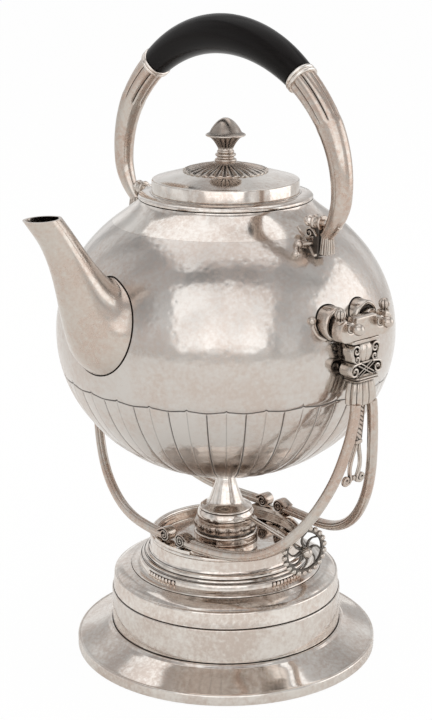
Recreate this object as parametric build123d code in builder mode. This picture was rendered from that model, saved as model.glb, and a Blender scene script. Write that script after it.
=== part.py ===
"""Spirit kettle on its stand: a silver kettle with a bail handle and a lift-off lid, hung by four
trunnions in two yokes, over a spirit burner on a round stepped stand.

Frame: millimetres, +Z up, the origin on the stand's axis at the table. The spout points to -X and
the two yokes, the handle's feet and both hinge axes lie along Y.
"""

import os
from math import atan2, cos, degrees, radians, sin, sqrt, tan

from build123d import *

# ---------------------------------------------------------------- driving dimensions
SHEET = 1.2                  # silver sheet of the kettle, spout and lid
SEAT_GAP = 0.3               # air between curved pieces that don't fit each other
RUNNING_FIT = 0.05           # radial play of a pin in its bore
EDGE = 0.5                   # softened edges of turned pieces

# Stand: foot, drum and collar
FOOT_RADIUS = 81.0
FOOT_RIM_HEIGHT = 5.5
FOOT_WALL = 2.0
FOOT_LEDGE = 19.1            # from the foot's rim in to the drum
FOOT_BEAD = 1.4              # rounded bead where flange and drum meet
FOOT_SWELL = 2.6             # rise of the flange at its middle
DRUM_BASE = 13.7             # height of the joint between flange and drum
DRUM_BAND = 18.7             # lower band of the drum
DRUM_STEP = 0.9              # how far the upper band is set back
DRUM_WALL = 2.0
UPPER_BAND = 9.1
SHOULDER_SETBACK = 1.4       # crisp edge of the shoulder, inside the drum's lower band
SHOULDER_WIDTH = 10.5        # from the drum's radius in to the collar's mouldings
SHOULDER_RISE = 4.0
SHOULDER_SWELL = 0.9
COLLAR_STEP_WIDTH = 10.3     # width of the collar's mouldings
COLLAR_STEP_HEIGHT = 9.2
COLLAR_RISE = 18.1           # from the shoulder to the top of the rolled rim
COLLAR_WALL = 1.6
RIM_ROLL = 1.9               # radius of the rolled rim
BEADS_PER_STRIP = 9
BEAD_RADIUS = 0.95
BEAD_PITCH = 2.2

# Spirit lamp
PLATE_DROP = 4.2             # from the rim down to the plate that carries the burner
PLATE_THICKNESS = 1.2
PLATE_GAP = 0.6              # between the plate's edge and the collar
FONT_MARGIN = 6.5            # from the collar's inside to the font
FONT_DEPTH = 26.0
BURNER_RADIUS = 17.2
BURNER_RING_HEIGHT = 5.0
GALLERY_GAP = 1.1
GALLERY_HEIGHT = 4.6
GALLERY_SCALLOPS = 14
SCALLOP_RADIUS = 1.5
NECK_RADIUS = 15.4
NECK_HEIGHT = 6.2
NECK_WALL = 2.2
NECK_TAPER = 1.3
WICK_RADIUS = 3.2
WICK_STAND = 9.0             # from the neck's top to the wick's
WICK_BARE = 2.0              # wick that stands out of its tube
WICK_FOOT_GAP = 3.5          # from the wick's foot to the font's bottom
WICK_TUBE_WALL = 0.8
WICK_TUBE_FLANGE = 1.0
CAP_RADIUS = 14.1            # lower edge of the snuffer cap
CAP_HEIGHT = 19.6
CAP_WALL = 0.9
CAP_GAP = 0.2
# Trumpet shape of the cap: (share of its radius, share of its height)
CAP_PROFILE = (
    (1.0, 0.0), (1.0, 0.05), (0.89, 0.10), (0.667, 0.21), (0.574, 0.378), (0.489, 0.54), (0.397, 0.745),
    (0.34, 0.90), (0.184, 0.97), (0.0, 1.0),
)

# Wick regulator: a level rod beside the wick, with a beaded wheel at its outer end
ROD_RADIUS = 1.25
ROD_TURN = 13.0              # degrees, from -Y towards -X
ROD_RISE = 2.5               # over the gallery's top
ROD_REACH = 67.8             # from the chord's middle to the wheel's middle
ROD_TIP = 3.0
PINION_RADIUS = 4.5
PINION_TOOTH = 0.75
PINION_LENGTH = 4.0
PINION_TEETH = 12
PINION_GAP = 0.1             # between the pinion and the wick
WHEEL_RADIUS = 12.0          # pitch circle of the beads
WHEEL_BEADS = 20
WHEEL_BEAD_RADIUS = 1.4
WHEEL_RING = 1.4             # width of the ring under the beads
WHEEL_THICKNESS = 1.6
WHEEL_SPOKES = 8
SPOKE_WIDTH = 1.3
HUB_RADIUS = 2.6

# Kettle
BODY_RADIUS = 88.2
BODY_HALF_HEIGHT = 76.9
KETTLE_CLEARANCE = 4.4       # from the snuffer cap to the kettle's flat bottom
BASE_RADIUS = 18.4
PANELS = 28                  # lobed panels of the lower body
PANEL_DROP = 19.7            # from the widest level down to the panels' upper edge
PANEL_GROOVE = 0.5
GROOVE_ANGLE = 0.6           # degrees, width of the line between two panels
FLARE_WIDTH = 12.5           # concave flare from the body to the neck ring
NECK_RISE = 6.3              # from the body to the ledge that the lid rests on
NECK_LEDGE = 2.0

# Lid
LID_RADIUS = 37.7
LID_OVERHANG = 3.2           # from the mouth to the lid's edge
RING_MARGIN = 7.0            # from the lid's edge to the neck ring's
LID_BAND = 6.3
LID_RISE = 4.4               # from the band to the foot of the rosette
BEZEL_DEPTH = 8.0
BEZEL_WALL = 1.1
BEZEL_FLANGE = 1.0
ROSETTE_RADIUS = 21.9
ROSETTE_RISE = 4.2
ROSETTE_RIM = 4.0            # raised border of the rosette
ROSETTE_FLUTES = 32
FLUTE_WIDTH = 0.5
FLUTE_DEPTH = 0.4
KNOB_FOOT_RADIUS = 5.3
KNOB_FLANGE_RADIUS = 10.2
KNOB_HEIGHT = 22.2
KNOB_FLUTES = 16
# Knob: (share of the foot's radius, share of the height), then the same of the flange's radius
KNOB_STEM = (
    (1.0, 0.0), (1.0, 0.072), (0.83, 0.117), (0.98, 0.153), (0.943, 0.198), (0.755, 0.225),
    (0.792, 0.27), (0.717, 0.297),
)
KNOB_CONE = ((0.765, 0.577), (1.0, 0.617), (0.814, 0.671))
KNOB_DOME = ((0.667, 0.779), (0.431, 0.91))
STUD_RADIUS = 1.6
STUD_GRIP = 5.0              # how far the stud goes into the knob
NUT_RADIUS = 4.0
NUT_HEIGHT = 2.4
STUD_TAIL = 1.0

# Spout
SPOUT_ROOT_RADIUS = 26.5
SPOUT_TIP_RADIUS = 7.8
SPOUT_TIP_RISE = 0.9         # from the lid's ledge up to the spout's level mouth
SPOUT_REACH = 119.0          # from the axis to the middle of the mouth
SPOUT_ROOT_RISE = 16.0       # from the widest level up to the middle of the root
STRAINER_HOLE = 2.0
STRAINER_PITCH = 6.4
STRAINER_ROWS = 5

# Yokes and trunnions
YOKE_CLEARANCE = 3.8         # from the kettle's widest part to the yoke
YOKE_DEPTH = 6.0
YOKE_END = 8.0               # yoke beyond each trunnion
YOKE_DROP = 7.1              # yoke under and over the trunnions' axis
YOKE_RISE = 4.1
YOKE_ROUND = 5.0
TRUNNION_SPREAD = 10.4       # half the distance between the two trunnions of a yoke
TRUNNION_RISE = 20.79        # from the kettle's widest level up to the trunnions
TRUNNION_RADIUS = 2.5
TRUNNION_ROOT = 3.5          # how far a trunnion goes into its lug
TRUNNION_BALL = 2.9
BALL_OVERHANG = 4.2          # from the yoke's outer face to the middle of the ball
CRADLE_FLARE = 12.0          # degrees, of each cradle wall
LUG_RADIUS = 8.3
LUG_DISH = 1.0               # depth of the dished face
LUG_RIM = 1.6
LUG_GAP = 0.4                # air between lug and yoke
FINIAL_OFFSET = 5.2          # from a trunnion out to the finial
FINIAL_BALL = 2.8
FINIAL_NECK = 1.9
FINIAL_STEM = 1.2
FINIAL_COLLAR = 2.4

# Capital, pendant and arms under each yoke
CAPITAL_DEPTH = 6.6
CAPITAL_PLATE = 1.8
CAPITAL_HALF = 9.5           # half width of the plate under the yoke
POT_HEIGHT = 9.4
POT_HALF = 4.9
POT_SCROLL = 2.9
POT_FOOT_SCROLL = 2.0
TIER_HEIGHT = 7.0
TIER_HALF = 7.4
LATTICE_BAR = 1.3
LATTICE_ANGLE = 33.0         # degrees from level
LATTICE_RELIEF = 0.8
VOLUTE_RADIUS = 3.3
RING_HEIGHT = 2.4            # double ring over the skirt
RING_WIDTH = 17.2
RING_DEPTH = 10.2
RING_STEP = 1.0
SKIRT_HEIGHT = 12.3
SKIRT_TOP_WIDTH = 15.0
SKIRT_BOTTOM_WIDTH = 19.0
SKIRT_TOP_DEPTH = 7.4
SKIRT_BOTTOM_DEPTH = 8.6
SKIRT_ROUND = 3.0
SKIRT_FLUTES = 5
PENDANT_LENGTH = 18.0        # braided strap
PENDANT_HALF = 2.6
PENDANT_DEPTH = 3.0
PENDANT_BAND = 1.4
BRAID_STEPS = 5
BRAID_GROOVE = 0.4
LOOP_LENGTH = 20.0           # lyre loop under it
LOOP_WIDTH = 7.4
LOOP_NECK = 1.6
LOOP_WIRE = 1.1
LOOP_SCROLL = 1.9
LOOP_SPREAD = 5.6
ARM_RADIUS = 2.7
ARM_START = 5.8              # half the distance between the two arms under the skirt
ARM_SETBACK = 2.2            # from the middle of the yoke out to the arms
ARM_INSET = 2.4              # from the rolled rim in to the arms
ARM_END = 7.4                # from the middle to the end of each arm
ARM_SCROLL = 3.7
ARM_SCROLL_WIDTH = 6.4
# Bends between the skirt and the rim: (share across, share of the reach, share of the drop)
ARM_BENDS = (
    (0.013, 1.0, 0.197), (0.252, 0.9465, 0.468), (0.542, 0.798, 0.739), (0.716, 0.617, 0.92),
    (0.916, 0.37, 1.0),
)
SADDLE_THICKNESS = 1.6
SADDLE_WIDTH = 6.8
SADDLE_LENGTH = 27.0
SADDLE_SLOT = 2.2
SADDLE_SLOT_LENGTH = 4.6
SADDLE_SLOT_PITCH = 8.0

# Handle: half of its centre line is a large arc over the top and a smaller one down the side
HANDLE_INSET = 2.2           # from the kettle's widest radius in to the top arc's radius
HANDLE_SIDE_ARC = 57.3
HANDLE_BREAK = 53.2          # degrees from the top, where the arcs meet
HANDLE_END = 20.0            # degrees below level, where the limb ends
GRIP_ANGLE = 36.5            # degrees from the top to each end of the grip
GRIP_RADIUS = 9.9
GRIP_END_RADIUS = 7.5
FERRULE_ANGLE = 2.6
FERRULE_RADIUS = 8.4
SLEEVE_RADIUS = 7.2
LIMB_RADIUS = 6.7
LIMB_END_RADIUS = 4.3
TANG_RADIUS = 2.6
TANG_ANGLE = 3.0             # degrees that the tang goes into each limb
HINGE_RISE = 8.85            # from the body up to the handle's hinge
HINGE_DROP = 0.3             # from the hinge down to the centre of the top arc
HINGE_PIN_RADIUS = 1.8
HINGE_BALL = 2.9
BALL_INSET = 26.6            # from the top arc's radius in to the pin's ball
PIN_INSET = 6.0              # and in to the pin's outer end
KNUCKLE_INSET = 17.0
KNUCKLE_LENGTH = 6.0
KNUCKLE_RADIUS = 3.8
HINGE_SCROLL = 3.1
SCROLL_WIDTH = 9.0
TERMINAL_GAP = 0.4
TERMINAL_DEPTH = 4.6
TERMINAL_WIDTH = 6.4
TERMINAL_DROP = 15.0         # from the hinge to the handle's lower end
LUG_PLATE_INSET = 9.5        # from the knuckle in to the saddle plate's end
LUG_PLATE_WIDTH = 9.0
LUG_PLATE_RAISE = 0.6
LUG_BALL = 2.3
LUG_BALL_RAISE = 1.0
LUG_BALL_SPREAD = (7.0, 12.6)
LUG_BALL_INSET = (1.8, -1.2)

# ---------------------------------------------------------------- places worked out from them
DRUM_RADIUS = FOOT_RADIUS - FOOT_LEDGE
DRUM_SEAM = DRUM_BASE + DRUM_BAND
SHOULDER_HEIGHT = DRUM_SEAM + UPPER_BAND
COLLAR_FOOT_RADIUS = DRUM_RADIUS - SHOULDER_WIDTH
COLLAR_FOOT_HEIGHT = SHOULDER_HEIGHT + SHOULDER_RISE
COLLAR_RADIUS = COLLAR_FOOT_RADIUS - COLLAR_STEP_WIDTH
COLLAR_HEIGHT = COLLAR_FOOT_HEIGHT + COLLAR_RISE
PLATE_HEIGHT = COLLAR_HEIGHT - PLATE_DROP
FONT_TOP = PLATE_HEIGHT - PLATE_THICKNESS
FONT_RADIUS = COLLAR_RADIUS - COLLAR_WALL - FONT_MARGIN
NECK_BORE = NECK_RADIUS - NECK_WALL
WICK_BORE = WICK_RADIUS + SEAT_GAP
RING_TOP = PLATE_HEIGHT + BURNER_RING_HEIGHT
GALLERY_BASE = RING_TOP + GALLERY_GAP
GALLERY_TOP = GALLERY_BASE + GALLERY_HEIGHT
NECK_TOP = GALLERY_TOP + NECK_HEIGHT
WICK_TOP = NECK_TOP + WICK_STAND
CAP_BASE = NECK_TOP + CAP_GAP
ROD_HEIGHT = GALLERY_TOP + ROD_RISE
ROD_OFFSET = WICK_RADIUS + PINION_RADIUS + PINION_GAP
BASE_HEIGHT = CAP_BASE + CAP_HEIGHT + KETTLE_CLEARANCE
BODY_CENTRE = BASE_HEIGHT + BODY_HALF_HEIGHT * sqrt(1 - (BASE_RADIUS / BODY_RADIUS) ** 2)
PANEL_TOP = BODY_CENTRE - PANEL_DROP
MOUTH_RADIUS = LID_RADIUS - LID_OVERHANG
SHOULDER_RING_RADIUS = LID_RADIUS + RING_MARGIN


def body_height(radius, shrink=0.0):
    """Height of the kettle's upper surface at a distance from the axis."""
    half_width = BODY_RADIUS - shrink
    half_height = BODY_HALF_HEIGHT - shrink
    return BODY_CENTRE + half_height * sqrt(1 - (radius / half_width) ** 2)


def body_radius(height, shrink=0.0):
    """Distance from the axis to the kettle's surface at a height."""
    half_width = BODY_RADIUS - shrink
    half_height = BODY_HALF_HEIGHT - shrink
    return half_width * sqrt(1 - ((height - BODY_CENTRE) / half_height) ** 2)


SEAT_HEIGHT = body_height(SHOULDER_RING_RADIUS) + NECK_RISE
BAND_TOP = SEAT_HEIGHT + LID_BAND
ROSETTE_SEAT = BAND_TOP + LID_RISE
KNOB_BASE = ROSETTE_SEAT + ROSETTE_RISE
TRUNNION_HEIGHT = BODY_CENTRE + TRUNNION_RISE
YOKE_INNER = BODY_RADIUS + YOKE_CLEARANCE
YOKE_MIDDLE = YOKE_INNER + YOKE_DEPTH / 2
YOKE_BOTTOM = TRUNNION_HEIGHT - YOKE_DROP
YOKE_TOP = TRUNNION_HEIGHT + YOKE_RISE
TRUNNION_REACH = YOKE_INNER + YOKE_DEPTH + BALL_OVERHANG
LUG_FACE = YOKE_INNER - LUG_GAP
TIER_TOP = YOKE_BOTTOM - CAPITAL_PLATE - POT_HEIGHT
TIER_BASE = TIER_TOP - TIER_HEIGHT
SKIRT_TOP = TIER_BASE - RING_HEIGHT
SKIRT_BOTTOM = SKIRT_TOP - SKIRT_HEIGHT
HANDLE_ARC = BODY_RADIUS - HANDLE_INSET
HINGE_BALL_PLACE = HANDLE_ARC - BALL_INSET
HINGE_REACH = HANDLE_ARC - PIN_INSET
KNUCKLE_OUTER = HANDLE_ARC - KNUCKLE_INSET
KNUCKLE_INNER = KNUCKLE_OUTER - KNUCKLE_LENGTH
TERMINAL_INNER = KNUCKLE_OUTER + TERMINAL_GAP
HINGE_HEIGHT = body_height(HINGE_BALL_PLACE) + HINGE_RISE
HANDLE_CENTRE = HINGE_HEIGHT - HINGE_DROP


def outline(*corners, mode=Mode.ADD):
    """Face inside straight edges, in the sketch that is open."""
    with BuildLine() as edge:
        Polyline(*corners, close=True)
    make_face(edge.edges(), mode=mode)


def half_egg(shrink=0.0, mode=Mode.ADD):
    """Half section of the kettle's body: an ellipse, cut flat at the bottom."""
    half_width = BODY_RADIUS - shrink
    half_height = BODY_HALF_HEIGHT - shrink
    floor = BASE_HEIGHT + shrink
    drop = (BODY_CENTRE - floor) / half_height
    start = -degrees(atan2(drop, sqrt(1 - drop**2)))
    with BuildLine() as edge:
        shell = EllipticalCenterArc(
            (0, BODY_CENTRE), half_width, half_height, start_angle=start, arc_size=90 - start
        )
        Polyline(shell @ 1, (0, floor), shell @ 0)
    make_face(edge.edges(), mode=mode)


def save(part, name):
    """Write one sub-part under its own name."""
    part.label = name
    export_step(part, f"parts/{name}.step")


os.makedirs("parts", exist_ok=True)

# ---------------------------------------------------------------- stand
with BuildPart() as foot_flange:
    with BuildSketch(Plane.XZ):
        with BuildLine():
            rim = Polyline((FOOT_RADIUS - FOOT_WALL, 0), (FOOT_RADIUS, 0), (FOOT_RADIUS, FOOT_RIM_HEIGHT))
            step = Polyline(
                (DRUM_RADIUS + FOOT_BEAD * 1.6, DRUM_BASE - FOOT_BEAD * 0.65),
                (DRUM_RADIUS + FOOT_BEAD, DRUM_BASE),
                (DRUM_RADIUS - DRUM_WALL, DRUM_BASE),
                (DRUM_RADIUS - DRUM_WALL, DRUM_BASE - FOOT_WALL),
            )
            middle = (FOOT_RADIUS + DRUM_RADIUS) / 2
            swell = FOOT_RIM_HEIGHT + FOOT_SWELL
            ThreePointArc(rim @ 1, (middle + EDGE, swell), step @ 0)
            under = ThreePointArc(
                step @ 1, (middle, swell - FOOT_WALL), (FOOT_RADIUS - FOOT_WALL, FOOT_RIM_HEIGHT - FOOT_WALL + EDGE)
            )
            Line(under @ 1, rim @ 0)
        make_face()
    revolve(axis=Axis.Z)
save(foot_flange.part, "foot_flange")

with BuildPart() as drum:
    with BuildSketch(Plane.XZ):
        upper = DRUM_RADIUS - DRUM_STEP
        edge = DRUM_RADIUS - SHOULDER_SETBACK
        with BuildLine():
            wall = Polyline(
                (DRUM_RADIUS - DRUM_WALL, DRUM_BASE),
                (DRUM_RADIUS, DRUM_BASE),
                (DRUM_RADIUS, DRUM_SEAM - EDGE),
                (DRUM_RADIUS - DRUM_STEP - EDGE, DRUM_SEAM),
                (upper, DRUM_SEAM + EDGE),
                (edge, SHOULDER_HEIGHT - EDGE),
                (edge - EDGE, SHOULDER_HEIGHT),
            )
            crown = ThreePointArc(
                wall @ 1,
                ((edge + COLLAR_FOOT_RADIUS) / 2, SHOULDER_HEIGHT + SHOULDER_RISE / 2 + SHOULDER_SWELL),
                (COLLAR_FOOT_RADIUS, COLLAR_FOOT_HEIGHT),
            )
            inner = Polyline(
                crown @ 1,
                (COLLAR_FOOT_RADIUS - DRUM_WALL, COLLAR_FOOT_HEIGHT),
                (COLLAR_FOOT_RADIUS - DRUM_WALL, COLLAR_FOOT_HEIGHT - DRUM_WALL),
                (edge - DRUM_WALL, SHOULDER_HEIGHT - DRUM_WALL),
                (DRUM_RADIUS - DRUM_WALL, DRUM_SEAM - DRUM_WALL),
                wall @ 0,
            )
        make_face()
    revolve(axis=Axis.Z)
save(drum.part, "drum")

# The collar's mouldings climb in small steps from the shoulder to the plain wall.
COLLAR_STEPS = (
    # share of the mouldings' width, share of their height
    (0.0, 0.0), (0.05, 0.10), (0.25, 0.14), (0.42, 0.26), (0.45, 0.50), (0.57, 0.55), (0.60, 0.71),
    (0.78, 0.77), (0.81, 0.92), (1.0, 1.0),
)
with BuildPart() as collar:
    with BuildSketch(Plane.XZ):
        wall_inner = COLLAR_RADIUS - COLLAR_WALL
        foot_inner = COLLAR_FOOT_RADIUS - DRUM_WALL
        mouldings = [
            (COLLAR_FOOT_RADIUS - COLLAR_STEP_WIDTH * across, COLLAR_FOOT_HEIGHT + COLLAR_STEP_HEIGHT * up)
            for across, up in COLLAR_STEPS
        ]
        outline(
            (foot_inner, COLLAR_FOOT_HEIGHT),
            *mouldings,
            (COLLAR_RADIUS - EDGE, COLLAR_HEIGHT - RIM_ROLL),
            (wall_inner - EDGE, COLLAR_HEIGHT - RIM_ROLL),
            (wall_inner, COLLAR_FOOT_HEIGHT + COLLAR_STEP_HEIGHT * 0.87),
            (foot_inner - COLLAR_STEP_WIDTH * 0.35, COLLAR_FOOT_HEIGHT + COLLAR_STEP_HEIGHT * 0.12),
        )
        with Locations((COLLAR_RADIUS - RIM_ROLL, COLLAR_HEIGHT - RIM_ROLL)):
            Circle(RIM_ROLL)
    revolve(axis=Axis.Z)
save(collar.part, "collar")

# A short row of beads sits in the mouldings on each of the four sides.
bead_ring = COLLAR_FOOT_RADIUS - COLLAR_STEP_WIDTH * 0.42
bead_height = COLLAR_FOOT_HEIGHT + COLLAR_STEP_HEIGHT * 0.33
bead_step = degrees(BEAD_PITCH / bead_ring)
with BuildPart() as bead_strips:
    for quarter in range(4):
        for bead in range(BEADS_PER_STRIP):
            turn = radians(90 * quarter + (bead - (BEADS_PER_STRIP - 1) / 2) * bead_step)
            place = (bead_ring * cos(turn), bead_ring * sin(turn), bead_height)
            with Locations(place):
                Sphere(BEAD_RADIUS)
    add(collar.part, mode=Mode.SUBTRACT)
save(bead_strips.part, "bead_strips")

# ---------------------------------------------------------------- spirit lamp
with BuildPart() as lamp_plate:
    with BuildSketch(Plane.XZ):
        plate_bore = WICK_BORE + WICK_TUBE_WALL + PLATE_GAP
        plate_edge = COLLAR_RADIUS - COLLAR_WALL - PLATE_GAP
        outline(
            (plate_bore, FONT_TOP), (plate_edge, FONT_TOP), (plate_edge, PLATE_HEIGHT), (plate_bore, PLATE_HEIGHT)
        )
    revolve(axis=Axis.Z)
save(lamp_plate.part, "lamp_plate")

with BuildPart() as spirit_font:
    with BuildSketch(Plane.XZ):
        with BuildLine():
            bowl = ThreePointArc(
                (0, FONT_TOP - FONT_DEPTH),
                (FONT_RADIUS * 0.8, FONT_TOP - FONT_DEPTH * 0.72),
                (FONT_RADIUS, FONT_TOP),
            )
            lining = ThreePointArc(
                (0, FONT_TOP - FONT_DEPTH + SHEET),
                (FONT_RADIUS * 0.8 - SHEET, FONT_TOP - FONT_DEPTH * 0.72 + SHEET * 0.6),
                (FONT_RADIUS - SHEET, FONT_TOP),
            )
            Line(bowl @ 0, lining @ 0)
            Line(bowl @ 1, lining @ 1)
        make_face()
    revolve(axis=Axis.Z)
save(spirit_font.part, "spirit_font")

with BuildPart() as burner_ring:
    with BuildSketch(Plane.XZ):
        outline(
            (NECK_BORE, PLATE_HEIGHT),
            (BURNER_RADIUS, PLATE_HEIGHT),
            (BURNER_RADIUS, RING_TOP - EDGE),
            (BURNER_RADIUS - EDGE, RING_TOP),
            (NECK_RADIUS - EDGE, RING_TOP),
            (NECK_RADIUS - EDGE, GALLERY_BASE),
            (NECK_BORE, GALLERY_BASE),
        )
    revolve(axis=Axis.Z)
save(burner_ring.part, "burner_ring")

with BuildPart() as burner_gallery:
    with BuildSketch(Plane.XY.offset(GALLERY_BASE)):
        Circle(BURNER_RADIUS)
        with PolarLocations(BURNER_RADIUS + SCALLOP_RADIUS * 0.6, GALLERY_SCALLOPS):
            Circle(SCALLOP_RADIUS, mode=Mode.SUBTRACT)
        Circle(NECK_BORE, mode=Mode.SUBTRACT)
    extrude(amount=GALLERY_HEIGHT)
save(burner_gallery.part, "burner_gallery")

# The rod runs along a chord beside the wick, so its plane is turned about the burner's axis.
rod_plane = Plane(
    origin=(
        ROD_OFFSET * cos(radians(ROD_TURN)),
        -ROD_OFFSET * sin(radians(ROD_TURN)),
        ROD_HEIGHT,
    ),
    x_dir=(0, 0, 1),
    z_dir=(-sin(radians(ROD_TURN)), -cos(radians(ROD_TURN)), 0),
)
rod_tail = sqrt(NECK_BORE**2 - ROD_OFFSET**2) + NECK_WALL / 2

with BuildPart() as burner_neck:
    with BuildSketch(Plane.XZ):
        with BuildLine():
            belly = ThreePointArc(
                (NECK_RADIUS - NECK_TAPER * 0.6, GALLERY_TOP),
                (NECK_RADIUS, GALLERY_TOP + NECK_HEIGHT * 0.45),
                (NECK_RADIUS - NECK_TAPER, NECK_TOP),
            )
            Polyline(belly @ 1, (NECK_BORE, NECK_TOP), (NECK_BORE, GALLERY_TOP), belly @ 0)
        make_face()
    revolve(axis=Axis.Z)
    with BuildSketch(rod_plane.offset(-rod_tail)):
        Circle(ROD_RADIUS + RUNNING_FIT)
    extrude(amount=2 * rod_tail + NECK_WALL * 3, mode=Mode.SUBTRACT)
save(burner_neck.part, "burner_neck")

with BuildPart() as wick_tube:
    tube_outer = WICK_BORE + WICK_TUBE_WALL
    with BuildSketch(Plane.XY.offset(FONT_TOP)):
        Circle(tube_outer)
        Circle(WICK_BORE, mode=Mode.SUBTRACT)
    extrude(amount=WICK_TOP - WICK_BARE - FONT_TOP)
    with BuildSketch(Plane.XY.offset(PLATE_HEIGHT)):
        Circle(NECK_BORE)
        Circle(tube_outer, mode=Mode.SUBTRACT)
    extrude(amount=WICK_TUBE_FLANGE)
    with BuildSketch(rod_plane.offset(-PINION_LENGTH / 2 - SEAT_GAP)):
        Circle(PINION_RADIUS + SEAT_GAP)
    extrude(amount=PINION_LENGTH + 2 * SEAT_GAP, mode=Mode.SUBTRACT)
save(wick_tube.part, "wick_tube")

with BuildPart() as wick:
    wick_foot = FONT_TOP - FONT_DEPTH + WICK_FOOT_GAP
    with BuildSketch(Plane.XY.offset(wick_foot)):
        Circle(WICK_RADIUS)
    extrude(amount=WICK_TOP - wick_foot)
save(wick.part, "wick")


def cap_outline(wall):
    """Corners of the trumpet-shaped snuffer cap, from its lower edge to the middle of its top."""
    corners = []
    for across, up in CAP_PROFILE:
        inset = wall if across > 0 else 0
        drop = wall if up > CAP_PROFILE[-3][1] else 0
        corners.append((CAP_RADIUS * across - inset, CAP_BASE + CAP_HEIGHT * up - drop))
    return corners


with BuildPart() as snuffer_cap:
    with BuildSketch(Plane.XZ):
        outline(*cap_outline(0), *reversed(cap_outline(CAP_WALL)))
    revolve(axis=Axis.Z)
save(snuffer_cap.part, "snuffer_cap")

# ---------------------------------------------------------------- wick regulator
with BuildPart() as regulator_rod:
    with BuildSketch(rod_plane.offset(-rod_tail)):
        Circle(ROD_RADIUS)
    extrude(amount=rod_tail + ROD_REACH + ROD_TIP)
save(regulator_rod.part, "regulator_rod")

with BuildPart() as regulator_pinion:
    with BuildSketch(rod_plane.offset(-PINION_LENGTH / 2)):
        Circle(PINION_RADIUS - PINION_TOOTH * 0.93)
        with PolarLocations(PINION_RADIUS - PINION_TOOTH, PINION_TEETH):
            RegularPolygon(PINION_TOOTH, 3)
        Circle(ROD_RADIUS, mode=Mode.SUBTRACT)
    extrude(amount=PINION_LENGTH)
save(regulator_pinion.part, "regulator_pinion")

with BuildPart() as regulator_wheel:
    with BuildSketch(rod_plane.offset(ROD_REACH - WHEEL_THICKNESS / 2)):
        Circle(WHEEL_RADIUS - SPOKE_WIDTH / 2)
        Circle(WHEEL_RADIUS - SPOKE_WIDTH / 2 - WHEEL_RING, mode=Mode.SUBTRACT)
        with PolarLocations(WHEEL_RADIUS / 2, WHEEL_SPOKES):
            Rectangle(WHEEL_RADIUS - 2 * WHEEL_RING, SPOKE_WIDTH)
        Circle(HUB_RADIUS)
        Circle(ROD_RADIUS, mode=Mode.SUBTRACT)
    extrude(amount=WHEEL_THICKNESS)
    with BuildSketch(rod_plane.offset(ROD_REACH - WHEEL_BEAD_RADIUS)):
        with PolarLocations(WHEEL_RADIUS, WHEEL_BEADS):
            Circle(WHEEL_BEAD_RADIUS)
    extrude(amount=2 * WHEEL_BEAD_RADIUS)
save(regulator_wheel.part, "regulator_wheel")

# ---------------------------------------------------------------- arms, capitals and yokes

def corner_radii(points):
    """Bend radius for each inner corner: 0.45 of the shorter run over the tangent of half the turn."""
    radii = []
    for before, corner, after in zip(points, points[1:], points[2:]):
        run_in = Vector(*corner) - Vector(*before)
        run_out = Vector(*after) - Vector(*corner)
        turn = radians(run_in.get_angle(run_out))
        radii.append(0.45 * min(run_in.length, run_out.length) / tan(turn / 2))
    return radii


ARM_LEVEL = COLLAR_HEIGHT + SADDLE_THICKNESS + ARM_RADIUS
ARM_SIDE = COLLAR_RADIUS - RIM_ROLL - ARM_INSET
ARM_REACH = YOKE_MIDDLE + ARM_SETBACK
ARM_DROP = SKIRT_BOTTOM - ARM_LEVEL
ARM_ROUTE = [
    (ARM_START, -ARM_REACH, SKIRT_BOTTOM),
    *(
        (ARM_START + (ARM_SIDE - ARM_START) * across, -ARM_REACH * reach, SKIRT_BOTTOM - ARM_DROP * drop)
        for across, reach, drop in ARM_BENDS
    ),
    (ARM_SIDE, -3 * ARM_END, ARM_LEVEL),
    (ARM_SIDE, -ARM_END, ARM_LEVEL),
]

with BuildPart() as arm:
    with BuildLine():
        route = FilletPolyline(*ARM_ROUTE, radius=corner_radii(ARM_ROUTE))
    with BuildSketch(Plane(origin=ARM_ROUTE[0], z_dir=(0, 0, -1))):
        Circle(ARM_RADIUS)
    sweep(path=route)
    scroll_plane = Plane(
        origin=(
            ARM_SIDE - ARM_SCROLL_WIDTH / 2,
            ARM_SCROLL / 3 - ARM_END,
            COLLAR_HEIGHT + SADDLE_THICKNESS + ARM_SCROLL,
        ),
        z_dir=(1, 0, 0),
    )
    with BuildSketch(scroll_plane):
        Circle(ARM_SCROLL)
    extrude(amount=ARM_SCROLL_WIDTH)
save(arm.part, "arm_front_right")
save(arm.part.mirror(Plane.YZ), "arm_front_left")
save(arm.part.mirror(Plane.XZ), "arm_back_right")
save(arm.part.mirror(Plane.XZ).mirror(Plane.YZ), "arm_back_left")

with BuildPart() as saddle_right:
    with BuildSketch(Plane.XY.offset(COLLAR_HEIGHT)):
        Circle(COLLAR_RADIUS)
        Circle(COLLAR_RADIUS - SADDLE_WIDTH, mode=Mode.SUBTRACT)
        with Locations((COLLAR_RADIUS, 0)):
            Rectangle(SADDLE_LENGTH, SADDLE_LENGTH, mode=Mode.INTERSECT)
        with Locations((COLLAR_RADIUS - SADDLE_WIDTH / 2, 0)):
            with GridLocations(0, SADDLE_SLOT_PITCH, 1, 2):
                Rectangle(SADDLE_SLOT, SADDLE_SLOT_LENGTH, mode=Mode.SUBTRACT)
    extrude(amount=SADDLE_THICKNESS)
save(saddle_right.part, "saddle_right")
save(saddle_right.part.mirror(Plane.YZ), "saddle_left")

yoke_plane = Plane(origin=(0, -YOKE_INNER, 0), x_dir=(1, 0, 0), z_dir=(0, -1, 0))
middle_plane = Plane(origin=(0, -YOKE_MIDDLE, 0), x_dir=(1, 0, 0), z_dir=(0, -1, 0))


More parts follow.
